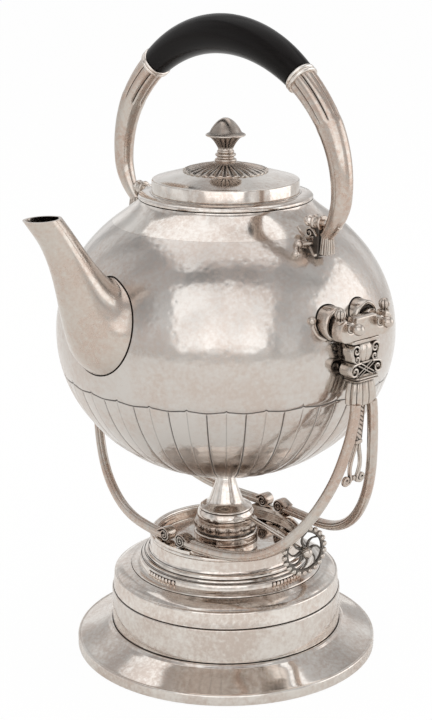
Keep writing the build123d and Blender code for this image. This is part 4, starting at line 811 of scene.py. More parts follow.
class SPIRITKETTLE_OT_spout(bpy.types.Operator):
    """Spout with its level mouth"""

    bl_idname = "spirit_kettle.spout"
    bl_label = "Spout"

    def execute(self, context):
        # Centre x, height, half width across, half width in the plane of symmetry, lean of the ring.
        stations = [
            (-66.0, 187.5, 26.5, 26.5, 12), (-78.0, 191.0, 24.6, 25.2, 18), (-84.5, 194.5, 21.6, 22.4, 26),
            (-89.2, 200.3, 17.2, 17.8, 38), (-93.0, 207.6, 14.0, 14.6, 50), (-97.0, 216.0, 11.7, 12.0, 57),
            (-101.2, 224.5, 10.0, 10.1, 59), (-105.9, 233.2, 8.7, 8.8, 58), (-111.6, 242.2, 7.9, 8.0, 54),
            (-121.2, 254.5, 7.4, 7.6, 48),
        ]
        path = np.array(curve([s[:2] for s in stations], 6))
        wide = np.array(curve([(s[2], s[3]) for s in stations], 6))
        lean = np.array(curve([(s[4], 0) for s in stations], 6))[:, 0]
        t = np.arange(64) / 64 * TAU
        outer, inner = [], []
        for (x, z), (a, b), turn in zip(path, wide, np.radians(lean)):
            for rings, wall in ((outer, 0), (inner, SHEET)):
                across = (a - wall) * np.sin(t)
                up = (b - wall) * np.cos(t)
                # A soft ridge runs down the upper side.
                up = up + 0.06 * b * np.exp(-(np.minimum(t, TAU - t) / 0.3) ** 2)
                rings.append(np.stack([x + up * sin(turn), across, z + up * cos(turn)], 1))

        def trimmed(rings):
            """The rings with their last ones pulled back to the level mouth."""
            rings = [r.copy() for r in rings]
            for before, ring in zip(rings, rings[1:]):
                over = ring[:, 2] > SPOUT_RIM
                rise = np.maximum(ring[:, 2] - before[:, 2], 1e-6)
                share = np.clip((SPOUT_RIM - before[:, 2]) / rise, 0, 1)
                ring[over] = (before + share[:, None] * (ring - before))[over]
            return rings

        outer, inner = trimmed(outer), trimmed(inner)
        shell = skin(outer + inner[::-1], caps=False, loop=True)
        thing = write_mesh("spout_horn", [shell], 40)
        piece("spout_horn", thing, "chased silver", "kettle", ["spout"])
        # The edge where the spout's foot ends on the body.
        edge = []
        for column in np.array(outer).transpose(1, 0, 2):
            x, y, z = column.T
            inside = 1 - (x ** 2 + y ** 2) / BODY_A**2 - ((z - BODY_Z) / BODY_B) ** 2
            last = max(i for i in range(len(column) - 1) if inside[i] > 0 >= inside[i + 1])
            share = inside[last] / (inside[last] - inside[last + 1])
            edge.append(column[last] + share * (column[last + 1] - column[last]))
        seam_and_shade("spout_seam", [tube(edge + edge[:2], 0.42, 10)], "kettle")
        return {"FINISHED"}


class SPIRITKETTLE_OT_lid(bpy.types.Operator):
    """Lid, bezel, rosette and knob"""

    bl_idname = "spirit_kettle.lid"
    bl_label = "Lid"

    def execute(self, context):
        settings = context.scene.spirit_kettle.kettle
        lid = trace(
            (36.5, SEAT), ((37.5, SEAT), (37.7, SEAT + 0.2), (37.7, SEAT + 0.6), 4),
            ((37.7, 254.0), (37.45, 254.45), (36.9, 254.65), 5),
            *curve([(36.9, 254.65), (30.0, 256.6), (22.0, 258.5), (14.0, 259.1)], 6), (1.6, 259.1),
            (1.6, 257.9), (14.0, 257.8), (22.0, 257.2), (30.0, 255.2), (36.3, 253.4))
        piece("lid_cover", [lathe(lid, 200)], "polished silver", "lid", ["lid_plate"])
        bezel = [(33.1, 240.3), (34.2, 240.3), (34.2, SEAT), (36.5, SEAT), (36.5, 249.3), (33.1, 249.3)]
        piece("lid_rim", [lathe(bezel, 160)], "polished silver", "lid", ["lid_bezel"])

        rosette = trace(
            (1.6, 259.1), (16.0, 259.1), (20.0, 258.75),
            ((21.2, 258.5), (21.9, 258.9), (21.3, 259.5), 7),
            *curve([(20.4, 259.9), (16.0, 261.0), (11.0, 261.9), (7.2, 263.0), (5.6, 263.3)], 6),
            (1.6, 263.3))
        leaves = fluted("lid_rosette", [lathe(rosette, 32 * 10)],
                        lambda c: np.clip((np.hypot(c[:, 0], c[:, 1]) - 6.0) / 2, 0, 1) * (c[:, 2] > 258.72),
                        lambda c: 0.12 * (c[:, 2] > 259.6),
                        count=settings.rosette_flutes, depth=0.75 * MM, width=1.25 * MM, roundness=0.5 * MM)
        piece("lid_rosette", leaves, "chased silver", "lid", ["rosette"])

        knob = trace(
            (0, 263.3), (5.3, 263.3), ((5.3, 263.5), (5.6, 264.1), (5.2, 264.8), 5),
            ((4.6, 265.1), (4.3, 265.7), (4.7, 266.1), 5),
            ((4.9, 266.2), (5.3, 266.9), (4.9, 267.5), 6), (4.0, 267.8),
            ((4.1, 267.9), (4.4, 268.5), (4.0, 269.1), 6), (3.8, 269.5),
            *curve([(3.8, 269.7), (4.6, 271.4), (6.0, 273.6), (7.7, 275.4), (9.3, 276.2)], 5),
            ((9.8, 276.3), (10.2, 276.8), (9.8, 277.3), 6),
            *curve([(9.4, 277.5), (8.3, 278.1), (6.8, 280.6), (4.4, 283.5), (1.8, 285.2), (0, 285.5)], 5))
        stem = fluted("lid_knob", [lathe(knob, 16 * 12, closed=False)],
                      lambda c: (np.clip((c[:, 2] - 269.8) / 0.6, 0, 1)
                                 * np.clip((276.4 - c[:, 2]) / 0.5, 0, 1)),
                      # The dome is darkened most at its bottom: partly tarnished, partly painted shade below
                      # a lit top.
                      lambda c: np.clip((285.0 - c[:, 2]) / 14, 0.1, 0.45) * (c[:, 2] > 277.4),
                      count=settings.knob_flutes, depth=0.5 * MM, width=1.0 * MM, roundness=0.35 * MM)
        piece("lid_knob", stem, "chased silver", "lid", ["knob"])
        for node in ("knob_stud", "knob_nut"):
            carried(node, "bright steel")
        return {"FINISHED"}


class SPIRITKETTLE_OT_trunnions(bpy.types.Operator):
    """Lugs and trunnions on both flanks"""

    bl_idname = "spirit_kettle.trunnions"
    bl_label = "Trunnions"

    def execute(self, context):
        for side, word, body in ((-1, "tilt", "tilt_axle"), (1, "rest", "kettle")):
            pin_x = side * PIN_X
            lug = trace(
                (2.5, 0.0), (4.3, 0.0), ((4.5, 0.05), (4.75, 0.2), (4.8, 0.5), 4), (4.8, 2.2),
                (4.8, 3.9), (6.0, 4.1), ((6.2, 3.4), (7.1, 2.6), (8.0, 3.2), 8), (8.3, 3.9), (8.3, 6.0),
                (8.3, 13.5), (2.5, 13.5))
            made = [moved(lathe(lug, 72), (pin_x, BOSS_Y, PIN_Z), (0, 1, 0))]
            if word == "tilt":
                made.append(ball((-21.0, -82.0, 199.0), 2.0, 12, 20))
                tab = curve([(-20.6, -81.9, 198.0), (-20.4, -82.2, 194.8), (-18.6, -83.2, 191.4),
                             (-15.2, -84.6, 189.4)], 6)
                made.append(tube(tab, np.linspace(1.0, 1.9, len(tab)), 14, (0, 1, 0), 0.8, rounded=True))
            foot, rim = [], 8.35
            for t in np.arange(60) / 60 * TAU:
                x, z = pin_x + rim * cos(t), PIN_Z + rim * sin(t)
                foot.append((x, -sqrt(body_radius(z) ** 2 - x * x), z))
            seam_and_shade(word + "_boss_seams", both_sides([tube(foot + foot[:2], 0.42, 10)], 1), "kettle")
            piece(word + "_bosses", both_sides(made, 1), "chased silver", "kettle", [word + "_lugs"],
                  recess=3.4)
            pin = trace(
                (0, -3.5), (2.5, -3.5), (2.5, 6.2), (1.9, 6.6), (1.7, 8.0),
                ((1.8, 8.2), (2.9, 10.6), (0.0, 13.46), 14))
            pins = moved(lathe(pin, 40, closed=False), (pin_x, BOSS_Y, PIN_Z), (0, -1, 0))
            piece(word + "_pins", both_sides([pins], 1), "chased silver", body, [word + "_trunnions"],
                  recess=2.4, strength=1.5)
        return {"FINISHED"}


# ------------------------------------------------------------------ handle

# Two arcs, the wide one over the top up to the angle BREAK. Angles are degrees from the top.
TOP_R, TOP_Z, SIDE_R, BREAK = 86.0, 241.1, 57.3, 53.2
GRIP_END, FERRULE, LIMB_END, HINGE_Z = 36.5, 2.6, 116.0, 241.4


def bail(angle):
    """Point and outward direction of the handle's centre line, by the angle from its top, at -Y."""
    a = radians(min(angle, BREAK))
    if angle <= BREAK:
        return np.array([0, -TOP_R * sin(a), TOP_Z + TOP_R * cos(a)]), np.array([0, -sin(a), cos(a)])
    centre = np.array([0, -(TOP_R - SIDE_R) * sin(a), TOP_Z + (TOP_R - SIDE_R) * cos(a)])
    b = radians(angle)
    out = np.array([0, -sin(b), cos(b)])
    return centre + (SIDE_R - 2.6 * max(0.0, (angle - 94) / 16) ** 1.6) * out, out


def bail_skin(stations, outline):
    """Shell along the handle. The outline gives points across and outwards at an angle."""
    rings = []
    for angle in stations:
        centre, out = bail(abs(angle))
        if angle < 0:
            centre, out = centre * (1, -1, 1), out * (1, -1, 1)
        points = outline(angle)
        rings.append(centre + np.outer(points[:, 0], (1, 0, 0)) + np.outer(points[:, 1], out))
    return skin(rings)


class SPIRITKETTLE_OT_handle(bpy.types.Operator):
    """Bail handle with its ebony grip, and the pins it swings on"""

    bl_idname = "spirit_kettle.handle"
    bl_label = "Handle"

    def execute(self, context):
        def grip_ring(angle):
            """Round, thickest at the top, with an eased edge at each end."""
            share = abs(angle) / GRIP_END
            radius = 9.9 - (9.9 - 7.7) * share**1.8
            if share > 0.985:
                radius *= 1 - (share - 0.985) / 0.015 * 0.12
            return ring_of(48, radius)

        ends = [side * GRIP_END * share for side in (-1, 1) for share in (0.985, 0.995, 1)]
        stations = sorted(set(ends + list(np.linspace(-GRIP_END, GRIP_END, 61)[1:-1])))
        piece("handle_grip", [bail_skin(stations, grip_ring)], "ebonised hardwood", "handle", ["grip"])

        def ferrule_ring(angle):
            """Two beads side by side."""
            return ring_of(48, 7.3 + 1.0 * abs(sin((angle - GRIP_END) / FERRULE * TAU)) ** 0.6)

        beads = [0, .06, .12, .2, .3, .4, .48, .5, .52, .6, .7, .8, .88, .94, 1]
        ferrule = bail_skin([GRIP_END + FERRULE * s for s in beads], ferrule_ring)
        front_and_back("ferrule_beads_", [ferrule], "polished silver", "handle", "ferrule_")

        first = GRIP_END + FERRULE

        def limb_ring(angle):
            """A lobed sleeve that runs out into a slim ridged limb."""
            share = np.clip((angle - BREAK) / (LIMB_END - BREAK), 0, 1)
            radius = 7.2 - 0.5 * np.clip((angle - first) / (BREAK - first), 0, 1) - 2.5 * share**0.9
            radius -= 1.1 * np.clip((angle - 98) / 16, 0, 1) ** 1.5
            t = np.arange(144) / 144 * TAU
            sleeve = np.clip((BREAK + 5 - angle) / 3, 0, 1)
            r = radius * (1 - 0.13 * sleeve * (1 - np.abs(np.sin(t * 4)) ** 0.4))
            r = r * (1 + (1 - sleeve) * 0.07 * np.cos(2 * t + pi))
            return np.stack([r * np.cos(t), r * np.sin(t)], 1)

        limb = bail_skin(np.linspace(first, LIMB_END, 90), limb_ring)
        front_and_back("limb_cast_", [limb], "worn silver", "handle", "limb_", recess=1.6, strength=1.4)
        carried("grip_tang", "bright steel")
        foot = [(226.4, 3.1, 2.2, 0.3), (226.7, 3.4, 2.4, 0.6), (231.0, 2.9, 2.3, 0.6),
                (235.6, 2.3, 2.1, 0.4)]
        front_and_back("handle_foot_", [stacked(foot, 0.6, 12, 192, (0, -71.5))], "chased silver", "handle",
                       "terminal_", recess=1.5)
        pin = trace(
            (0, -2.9), ((1.0, -2.75), (2.9, 0.0), (1.85, 2.25), 10), (1.8, 20.4), (0, 20.6))
        pin = moved(lathe(pin, 40, closed=False), (0, -59.4, HINGE_Z), (0, -1, 0))
        piece("handle_pins", both_sides([pin], 1), "polished silver", "handle", ["hinge_pins"])
        return {"FINISHED"}


class SPIRITKETTLE_OT_handle_lugs(bpy.types.Operator):
    """Scrolled lugs that the handle swings on"""

    bl_idname = "spirit_kettle.handle_lugs"
    bl_label = "Handle lugs"

    def execute(self, context):
        knuckle = trace(
            (1.9, 63.0), (3.3, 63.0), ((3.5, 63.1), (3.9, 63.8), (3.5, 64.5), 5), (3.3, 64.8),
            (3.3, 67.2), ((3.5, 67.5), (3.9, 68.2), (3.5, 68.9), 5), (1.9, 69.0))
        shells = [moved(lathe(knuckle, 48), (0, 0, HINGE_Z), (0, -1, 0))]
        # Painted shadow: a plain dark post under each lug stands for the shade between the scroll and the
        # handle's foot.
        shadow_post = stacked([(225.5, 2.8, 2.2, 0), (232.0, 2.3, 2.0, 0), (239.0, 1.9, 1.9, 0)], 0.8,
                       centre=(0, -65.6))
        seam_and_shade("handle_lug_posts", both_sides([shadow_post], 1), "kettle", 0.85)
        # A volute faces both ways along the body, under the pin's ball.
        eye_y, eye_z = -62.2, 236.1
        roll = [(-67.0, 235.0), (-65.2, 237.2)] + scroll((eye_y, eye_z), 2.5, 120, -1.25)
        shells.append(ribbon(roll, -3.6, 3.6, 0.6, axis=0))
        shells.append(ball((0, eye_y, eye_z), 0.9, 8, 14, 4.2, (1, 0, 0)))
        plate = []
        inner, reach = -53.0, 14.2
        for y in np.linspace(inner, -67.2, 12):
            low, high = body_height(abs(y)) - 2.0, body_height(abs(y)) + 0.9
            p = rounded(2.2 + 2.6 * (inner - y) / reach, (high - low) / 2, 0.5, 40)
            plate.append(np.column_stack([p[:, 0], np.full(40, y), p[:, 1] + (low + high) / 2]))
        shells.append(skin(plate))
        # The two balls of a side, farther out on the spout's side.
        for side, spots in ((-1, ((9.6, -61.2, 2.2), (14.4, -64.4, 2.0))),
                            (1, ((7.0, -57.6, 2.2), (12.6, -60.6, 2.0)))):
            feet = [(side * 2.6, -63.5, body_height(63.6) + 2.2)]
            for x, y, radius in spots:
                z = body_height(sqrt(x * x + y * y)) + 1.0
                shells.append(ball((side * x, y, z), radius, 12, 20))
                feet.append((side * x, y, z - 0.6))
            shells.append(tube(curve(feet, 6), 1.15, 12, rounded=True))
        front_and_back("handle_lug_cast_", shells, "chased silver", "kettle", "handle_lug_", recess=1.8)
        return {"FINISHED"}


# ------------------------------------------------------------------ stand


class SPIRITKETTLE_OT_base(bpy.types.Operator):
    """Foot, drum and collar of the stand"""

    bl_idname = "spirit_kettle.base"
    bl_label = "Base"

    def execute(self, context):
        foot = trace(
            (79.0, 0), (80.8, 0), (81.0, 0.2), (81.0, 4.7),
            ((80.95, 4.9), (80.6, 5.45), (79.9, 5.5), 5),
            *curve([(79.7, 5.5), (78.8, 5.75), (72.5, 8.6), (67.5, 10.9), (64.4, 12.5)], 7),
            (64.1, 12.9), ((63.9, 13.0), (63.2, 13.6), (62.3, 13.7), 5), (59.9, 13.7), (59.9, 11.7),
            (66.0, 9.2), (72.0, 6.6), (79.0, 3.6))
        piece("stand_foot", [lathe(foot, 240)], "polished silver", "stand", ["foot_flange"])
        drum = trace(
            (59.9, 13.7), (61.7, 13.7), (61.9, 13.9), (61.9, 31.5),
            ((61.9, 31.6), (61.8, 32.1), (61.4, 32.3), 4), (60.9, 32.5),
            ((61.0, 32.6), (61.15, 33.0), (61.0, 33.6), 4), (60.6, 40.6),
            ((60.55, 40.8), (60.3, 41.3), (59.8, 41.5), 4),
            *curve([(59.4, 41.6), (57.8, 42.9), (55.4, 44.2), (53.2, 44.9), (51.4, 45.5)], 5),
            (49.4, 45.5), (49.4, 43.5), (58.5, 39.5), (59.9, 30.4))
        piece("stand_drum", [lathe(drum, 240)], "polished silver", "stand", ["drum"])
        collar = trace(
            (49.4, 45.5), (51.3, 45.5), ((51.3, 45.6), (51.2, 46.2), (50.6, 46.4), 4), (48.7, 46.8),
            (47.2, 47.7), (46.9, 49.9), ((46.8, 50.1), (46.4, 50.6), (45.7, 50.7), 4), (45.4, 50.9),
            ((45.3, 51.0), (45.2, 51.9), (44.5, 52.2), 4), (43.5, 52.5),
            ((43.4, 52.7), (43.3, 53.6), (42.6, 54.0), 4),
            *curve([(41.6, 54.5), (41.0, 55.6), (40.8, 58.0), (40.6, 61.0)], 4),
            ((40.8, 61.2), (41.1, 61.9), (40.6, 63.1), 5),
            ((40.3, 63.3), (39.2, 63.6), (38.1, 63.3), 6),
            ((37.8, 63.1), (37.4, 61.7), (38.2, 60.6), 5), (39.0, 58.0), (39.5, 53.5), (46.8, 47.5))
        piece("stand_collar", [lathe(collar, 220)], "polished silver", "stand", ["collar"])
        steps = ((62.0, 13.9, 0.22), (61.15, 32.45, 0.2), (51.3, 45.55, 0.2), (45.75, 50.8, 0.18),
                 (44.0, 52.45, 0.18), (41.75, 54.4, 0.18))
        seam_and_shade("stand_seams", [hoop(*step) for step in steps], "stand")
        return {"FINISHED"}


class SPIRITKETTLE_OT_bead_strips(bpy.types.Operator):
    """Four short strips of beads in the collar's mouldings"""

    bl_idname = "spirit_kettle.bead_strips"
    bl_label = "Bead strips"

    def execute(self, context):
        settings = context.scene.spirit_kettle.stand
        radius, height = 47.5 * MM, 48.7 * MM
        beads = beaded("collar_beads", groups=4, beads=settings.beads, radius=radius, height=height,
                       step=2.45 * settings.bead_radius / radius, bead_radius=settings.bead_radius,
                       material=finish_named("burnished silver"))
        # Each bead is a little taller than wide.
        taller = Matrix.Diagonal((1, 1, 1.35, 1))
        lift = Matrix.Translation((0, 0, height))
        beads.data.transform(lift @ taller @ Matrix.Translation((0, 0, -height)))
        piece("collar_beads", beads, "burnished silver", "stand", ["bead_strips"])
        # Painted shade: a dark band in the moulding behind each strip of beads, where the recess falls into
        # shade.
        shade_beds = []
        for quarter in range(4):
            turns = np.radians(90 * quarter + np.linspace(-12.6, 12.6, 25))
            corners = ((46.0, 47.3), (47.3, 47.5), (47.0, 49.9), (45.8, 50.0))
            shade_beds.append(skin([[(r * cos(t), r * sin(t), z) for r, z in corners] for t in turns]))
        seam_and_shade("collar_bead_beds", shade_beds, "stand", 0.95)
        return {"FINISHED"}


class SPIRITKETTLE_OT_lamp(bpy.types.Operator):
    """Lamp plate, spirit font, burner and wick"""

    bl_idname = "spirit_kettle.lamp"
    bl_label = "Spirit lamp"

    def execute(self, context):
        plate = [(4.9, 58.2), (38.9, 58.2), (38.9, 59.4), (4.9, 59.4)]
        piece("lamp_tray", [lathe(plate, 160)], "burnished silver", "stand", ["lamp_plate"])
        carried("spirit_font", "polished silver")
        ring = trace(
            (13.2, 59.4), ((16.6, 59.4), (17.2, 60.0), (17.2, 60.8), 5),
            ((17.2, 63.0), (17.0, 64.0), (16.2, 64.4), 5), (14.8, 64.4), (14.8, 65.5), (13.2, 65.5))
        piece("burner_foot", [lathe(ring, 96)], "polished silver", "stand", ["burner_ring"], recess=2.5)
        t = np.arange(14 * 16) / (14 * 16) * TAU
        rings = []
        for r, z in ((13.2, 65.5), (15.6, 65.5), (16.9, 65.9), (17.2, 66.6), (17.2, 68.9), (16.9, 69.7),
                     (15.8, 70.1), (13.2, 70.1)):
            scallop = 1.0 * (1 - np.abs(np.sin(7 * t)) ** 0.7) * (1 if r > 15 else 0)
            rings.append(round_ring(r - scallop, t, z))
        piece("burner_scallops", [skin(rings, caps=False, loop=True)], "chased silver", "stand",
              ["burner_gallery"], recess=2.5)
        neck = trace(
            (13.2, 70.1), (14.6, 70.1), ((14.8, 70.3), (15.4, 72.9), (14.1, 76.3), 10), (13.2, 76.3))
        piece("burner_collar", [lathe(neck, 96)], "polished silver", "stand", ["burner_neck"], recess=2.5)
        carried("wick_tube", "polished silver")
        carried("wick", "cotton wick")
        return {"FINISHED"}


class SPIRITKETTLE_OT_snuffer(bpy.types.Operator):
    """Snuffer cap on the burner"""

    bl_idname = "spirit_kettle.snuffer"
    bl_label = "Snuffer"

    def execute(self, context):
        bell = curve([(13.7, 77.7), (12.4, 78.5), (9.6, 80.4), (8.3, 83.4), (7.1, 86.6), (5.9, 90.0),
                      (5.1, 93.2)], 6)
        cap = trace(
            (13.2, 76.5), ((13.7, 76.5), (14.1, 76.8), (14.0, 77.4), 4), *bell,
            *curve([(4.9, 94.2), (3.9, 95.4), (2.2, 95.95), (0, 96.1)], 4))
        inner = curve([(0, 95.2), (2.0, 95.0), (3.4, 94.3), (4.1, 93.2), (5.0, 90.0), (6.2, 86.6),
                       (7.4, 83.4), (8.6, 80.2), (11.6, 78.1), (13.2, 77.3)], 3)
        piece("snuffer_trumpet", [lathe(cap + inner, 96, closed=False)], "polished silver", "snuffer",
              ["snuffer_cap"], sharp=50)
        return {"FINISHED"}


# ------------------------------------------------------------------ yokes, capitals, pendants and arms

YOKE_HIGH = 200.6
CRADLE = 2.62   # radius of the cradle a trunnion rests in
CORNER = 5.0    # of the yoke's rounded ends


class SPIRITKETTLE_OT_yokes(bpy.types.Operator):
    """Yoke bars with their open cradles, and four finials"""

    bl_idname = "spirit_kettle.yokes"
    bl_label = "Yokes"

    def execute(self, context):
        half = [(PIN_X - CRADLE - 0.8, YOKE_HIGH), (PIN_X - CRADLE, PIN_Z)]
        half += [(PIN_X - CRADLE * cos(t), PIN_Z - CRADLE * sin(t)) for t in np.linspace(0.2, pi - 0.2, 11)]
        half += [(PIN_X + CRADLE, PIN_Z), (PIN_X + CRADLE + 0.8, YOKE_HIGH - 0.02)]
        half += [(13.4 + CORNER * sin(t), 195.6 + CORNER * cos(t)) for t in np.linspace(0.4, pi / 2, 8)]
        half += [(13.4 + CORNER * cos(t), 194.4 - CORNER * sin(t)) for t in np.linspace(0, pi / 2, 9)]
        bar = slab(half + [(-x, z) for x, z in half[::-1]], 92.05, 97.95, 0.6)
        front_and_back("yoke_bar_", [bar], "chased silver", "stand", "yoke_", recess=3.5, strength=1.5)
        profile = trace(
            (0, 199.0), (1.8, 199.0), (1.8, 199.9), ((2.0, 199.9), (2.8, 200.4), (2.1, 200.9), 6),
            (1.6, 201.1),
            *[(2.9 * sin(t), 203.6 - 2.9 * cos(t)) for t in np.linspace(0.6, pi - 0.02, 16)])
        stem = fluted("finial_carved", [lathe(profile, 10 * 8, closed=False)],
                      lambda c: np.clip((c[:, 2] - 199.9) * 3, 0, 1) * np.clip((206.2 - c[:, 2]) * 2, 0, 1),
                      count=8, depth=0.3 * MM, width=0.5 * MM, roundness=0.25 * MM)
        shape = stem.data.copy()
        join = bmesh.new()
        for x in (-15.6 * MM, 15.6 * MM):
            for y in (YOKE_Y * MM, -YOKE_Y * MM):
                shape.transform(Matrix.Translation((x, y, 0)))
                join.from_mesh(shape)
                shape.transform(Matrix.Translation((-x, -y, 0)))
        join.to_mesh(stem.data)
        join.free()
        piece("finials_carved", stem, "chased silver", "stand", ["yoke_finials"])
        return {"FINISHED"}


class SPIRITKETTLE_OT_capitals(bpy.types.Operator):
    """Capitals under the yokes: plate, pot between scrolls, lattice, double ring and fluted skirt"""

    bl_idname = "spirit_kettle.capitals"
    bl_label = "Capitals"

    def execute(self, context):
        tier = partial(stacked, centre=(0, YOKE_Y))
        shells = [tier([(187.6, 8.7, 2.9, 0), (187.9, 9.2, 3.2, 0), (189.1, 9.5, 3.3, 0),
                        (189.4, 9.2, 3.1, 0)], 0.9)]
        pot = [(178.0, 3.4, 2.7, 0.2), (179.2, 4.0, 3.0, 0.3), (181.5, 4.8, 3.4, 0.4), (184.0, 5.0, 3.5, 0.4),
               (185.8, 4.5, 3.2, 0.3), (186.8, 3.8, 2.8, 0.1), (187.7, 4.3, 3.0, 0)]
        shells.append(tier(pot, 1.5, 8, 168))
        # A C-scroll on each side of the pot.
        upper, lower = (6.6, 184.2), (6.2, 180.0)
        line = scroll(upper, 2.9, 0, 1.15)[::-1] + [(9.3, 182.6), (8.5, 181.2)] + scroll(lower, 2.1, 0, -1.15)
        eyes = [ball((x, YOKE_Y, z), 0.85, 8, 14, 3.9, (0, 1, 0)) for x, z in (upper, lower)]
        shells += both_sides([ribbon(line, YOKE_Y + 3.1, YOKE_Y - 3.3, 0.7)] + eyes)
        # Lattice between two volutes.
        shells.append(tier([(171.1, 6.9, 2.7, 0), (178.2, 5.2, 2.7, 0)], 0.5))
        for lean in (-5.6, 5.6):
            for z in (174.75 - 0.85, 174.75 + 0.85):
                for y in (YOKE_Y - 2.9, YOKE_Y + 2.9):
                    bar = [(-lean, y, z - 3.15), (0, y, z), (lean, y, z + 3.15)]
                    shells.append(tube(bar, 0.55, 10, (0, 1, 0)))
        for z, half_x in ((171.5, 7.0), (178.0, 5.4)):
            shells.append(tier([(z - 0.45, half_x, 3.2, 0), (z + 0.45, half_x, 3.2, 0)], 0.4))
        eye_x, eye_z = 8.05, 174.4
        roll = [(4.4, 178.0), (6.4, 177.9)] + scroll((eye_x, eye_z), 3.3, 95, -1.3)
        eye = ball((eye_x, YOKE_Y, eye_z), 0.95, 8, 14, 4.3, (0, 1, 0))
        shells += both_sides([ribbon(roll, YOKE_Y + 3.9, YOKE_Y - 3.9, 0.75), eye])
        shells.append(tier([(172.3, 9.6, 2.4, 0), (176.6, 9.6, 2.4, 0)], 1.5))
        rings = [(168.8, 7.7, 4.4, 0), (169.0, 8.3, 4.8, 0), (169.4, 8.6, 5.05, 0), (169.8, 8.3, 4.8, 0),
                 (169.95, 7.9, 4.5, 0), (170.1, 8.3, 4.8, 0), (170.5, 8.6, 5.05, 0), (170.9, 8.3, 4.8, 0),
                 (171.15, 7.7, 4.4, 0)]
        shells.append(tier(rings, 2.6))
        skirt = [(168.85, 6.6, 3.2, 0.3)]
        for z in np.linspace(168.6, 157.2, 9):
            swell = sin((168.6 - z) / 11.4 * 2.0)
            skirt.append((z, 6.9 + 1.3 * swell, 3.5 + 0.8 * swell, 0.95))
        skirt += [(156.8, 7.9, 4.0, 0.9), (156.5, 7.4, 3.6, 0.8)]
        shells.append(tier(skirt, 2.4, 10, 240))
        front_and_back("capital_cast_", shells, "chased silver", "stand", "capital_",
                       recess=1.7, strength=1.2)
        return {"FINISHED"}


class SPIRITKETTLE_OT_pendants(bpy.types.Operator):
    """Braided straps with a lyre loop, between the arms"""

    bl_idname = "spirit_kettle.pendants"
    bl_label = "Pendants"

    def execute(self, context):
        y, top, length = YOKE_Y, 156.6, 18.0
        steps = np.linspace(0, 1, 60)
        shells = [stacked([(138.4, 1.7, 0.6, 0), (top, 2.3, 0.7, 0)], 0.5, centre=(0, y))]
        for strand in range(3):
            turn = TAU * (steps * 2.6 + strand / 3)
            size = 1.55 - 0.4 * steps
            path = np.column_stack([0.95 * size * np.cos(turn), y + 0.75 * np.sin(turn),
                                    top - length * steps])
            shells.append(tube(path, 0.8 * size, 10))
        for side in (-1, 1):
            rail = [(side * (2.85 - 0.5 * s), y, top - length * s) for s in (0, 0.5, 1)]
            shells.append(tube(rail, 0.5, 10, (0, 1, 0)))
        shells.append(stacked([(136.6, 1.7, 1.1, 0), (137.0, 2.4, 1.5, 0), (138.2, 2.4, 1.5, 0),
                               (138.7, 1.8, 1.1, 0)], 0.9, centre=(0, y)))
        # Each half of the lyre runs down from the ring and rolls outwards.
        line = curve([(0.7, 137.2), (1.5, 134.2), (3.0, 129.6), (3.5, 125.6), (2.9, 122.3), (2.1, 120.2),
                      (2.8, 118.6)], 8)
        line += scroll((5.2, 119.9), 2.0, -118, 1.35, 0.72)
        wire = ribbon(line, y + 1.15, y - 1.15, 0.8, power=2.6)
        shells += both_sides([wire, ball((5.2, y, 119.9), 0.7, 8, 12, 1.5, (0, 1, 0))])
        shells.append(ball((0, y, 120.3), 1.3, 10, 16))
        # The strap bends inwards as it goes down, and its lower part is drawn out.
        for corners, _ in shells:
            drop = np.clip((top - corners[:, 2]) / 38.6, 0, 1.05)
            corners[:, 1] += 4.0 * drop**1.6
            corners[:, 2] -= 3.6 * np.clip((drop - 0.3) / 0.7, 0, 1.1)
        front_and_back("pendant_braid_", shells, "chased silver", "stand", "pendant_",
                       recess=1.8, strength=1.8)
        return {"FINISHED"}


class SPIRITKETTLE_OT_arms(bpy.types.Operator):
    """Four arms with lined edges and rolled ends, and the saddles they stand on"""

    bl_idname = "spirit_kettle.arms"
    bl_label = "Arms"

    def execute(self, context):
        end_x, end_y, end_z = 36.3, -6.2, 68.95
        line = [(5.8, -97.2, 157.5), (6.6, -97.2, 150.0), (8.9, -95.6, 136.5), (12.9, -91.6, 119.5),
                (17.4, -85.4, 104.5), (21.5, -77.8, 92.2), (24.9, -69.3, 82.6), (27.8, -59.6, 75.6),
                (30.9, -48.2, 71.0), (33.7, -35.4, 68.6), (35.7, -21.5, 67.95), (end_x, -13.0, 67.9),
                (end_x, -9.0, 67.9)]
        t = np.arange(40) / 40 * TAU
        lines = sum(np.exp(-(((t - a + pi) % TAU - pi) / 0.13) ** 2) for a in np.radians((40, 140, 220, 320)))
        rod = tube(curve(line, 9), 2.7, 40, (1, 0, 0), shape=1 - 0.13 * lines)
        roll = [(-12.0, 70.0), (-9.0, 71.6)] + scroll((end_y, end_z), 3.6, 100, -1.8, 0.7)
        core = lathe([(0, -2.7), (2.6, -2.7), (2.6, 2.7), (0, 2.7)], 24, closed=False)
        front_right = [rod, ribbon(roll, end_x - 3.1, end_x + 3.1, 0.5, axis=0),
                       moved(core, (end_x, end_y, end_z), (1, 0, 0)),
                       ball((end_x, end_y, end_z), 1.0, 8, 14, 3.4, (1, 0, 0))]
        for node, axes in (("front_right", ()), ("front_left", (0,)), ("back_right", (1,)),
                           ("back_left", (0, 1))):
            made = front_right
            for axis in axes:
                made = [mirrored(s, axis) for s in made]
            piece("arm_cast_" + node, made, "worn silver", "stand", ["arm_" + node], recess=1.6)
        carried("saddle_right", "polished silver")
        carried("saddle_left", "polished silver")
        return {"FINISHED"}


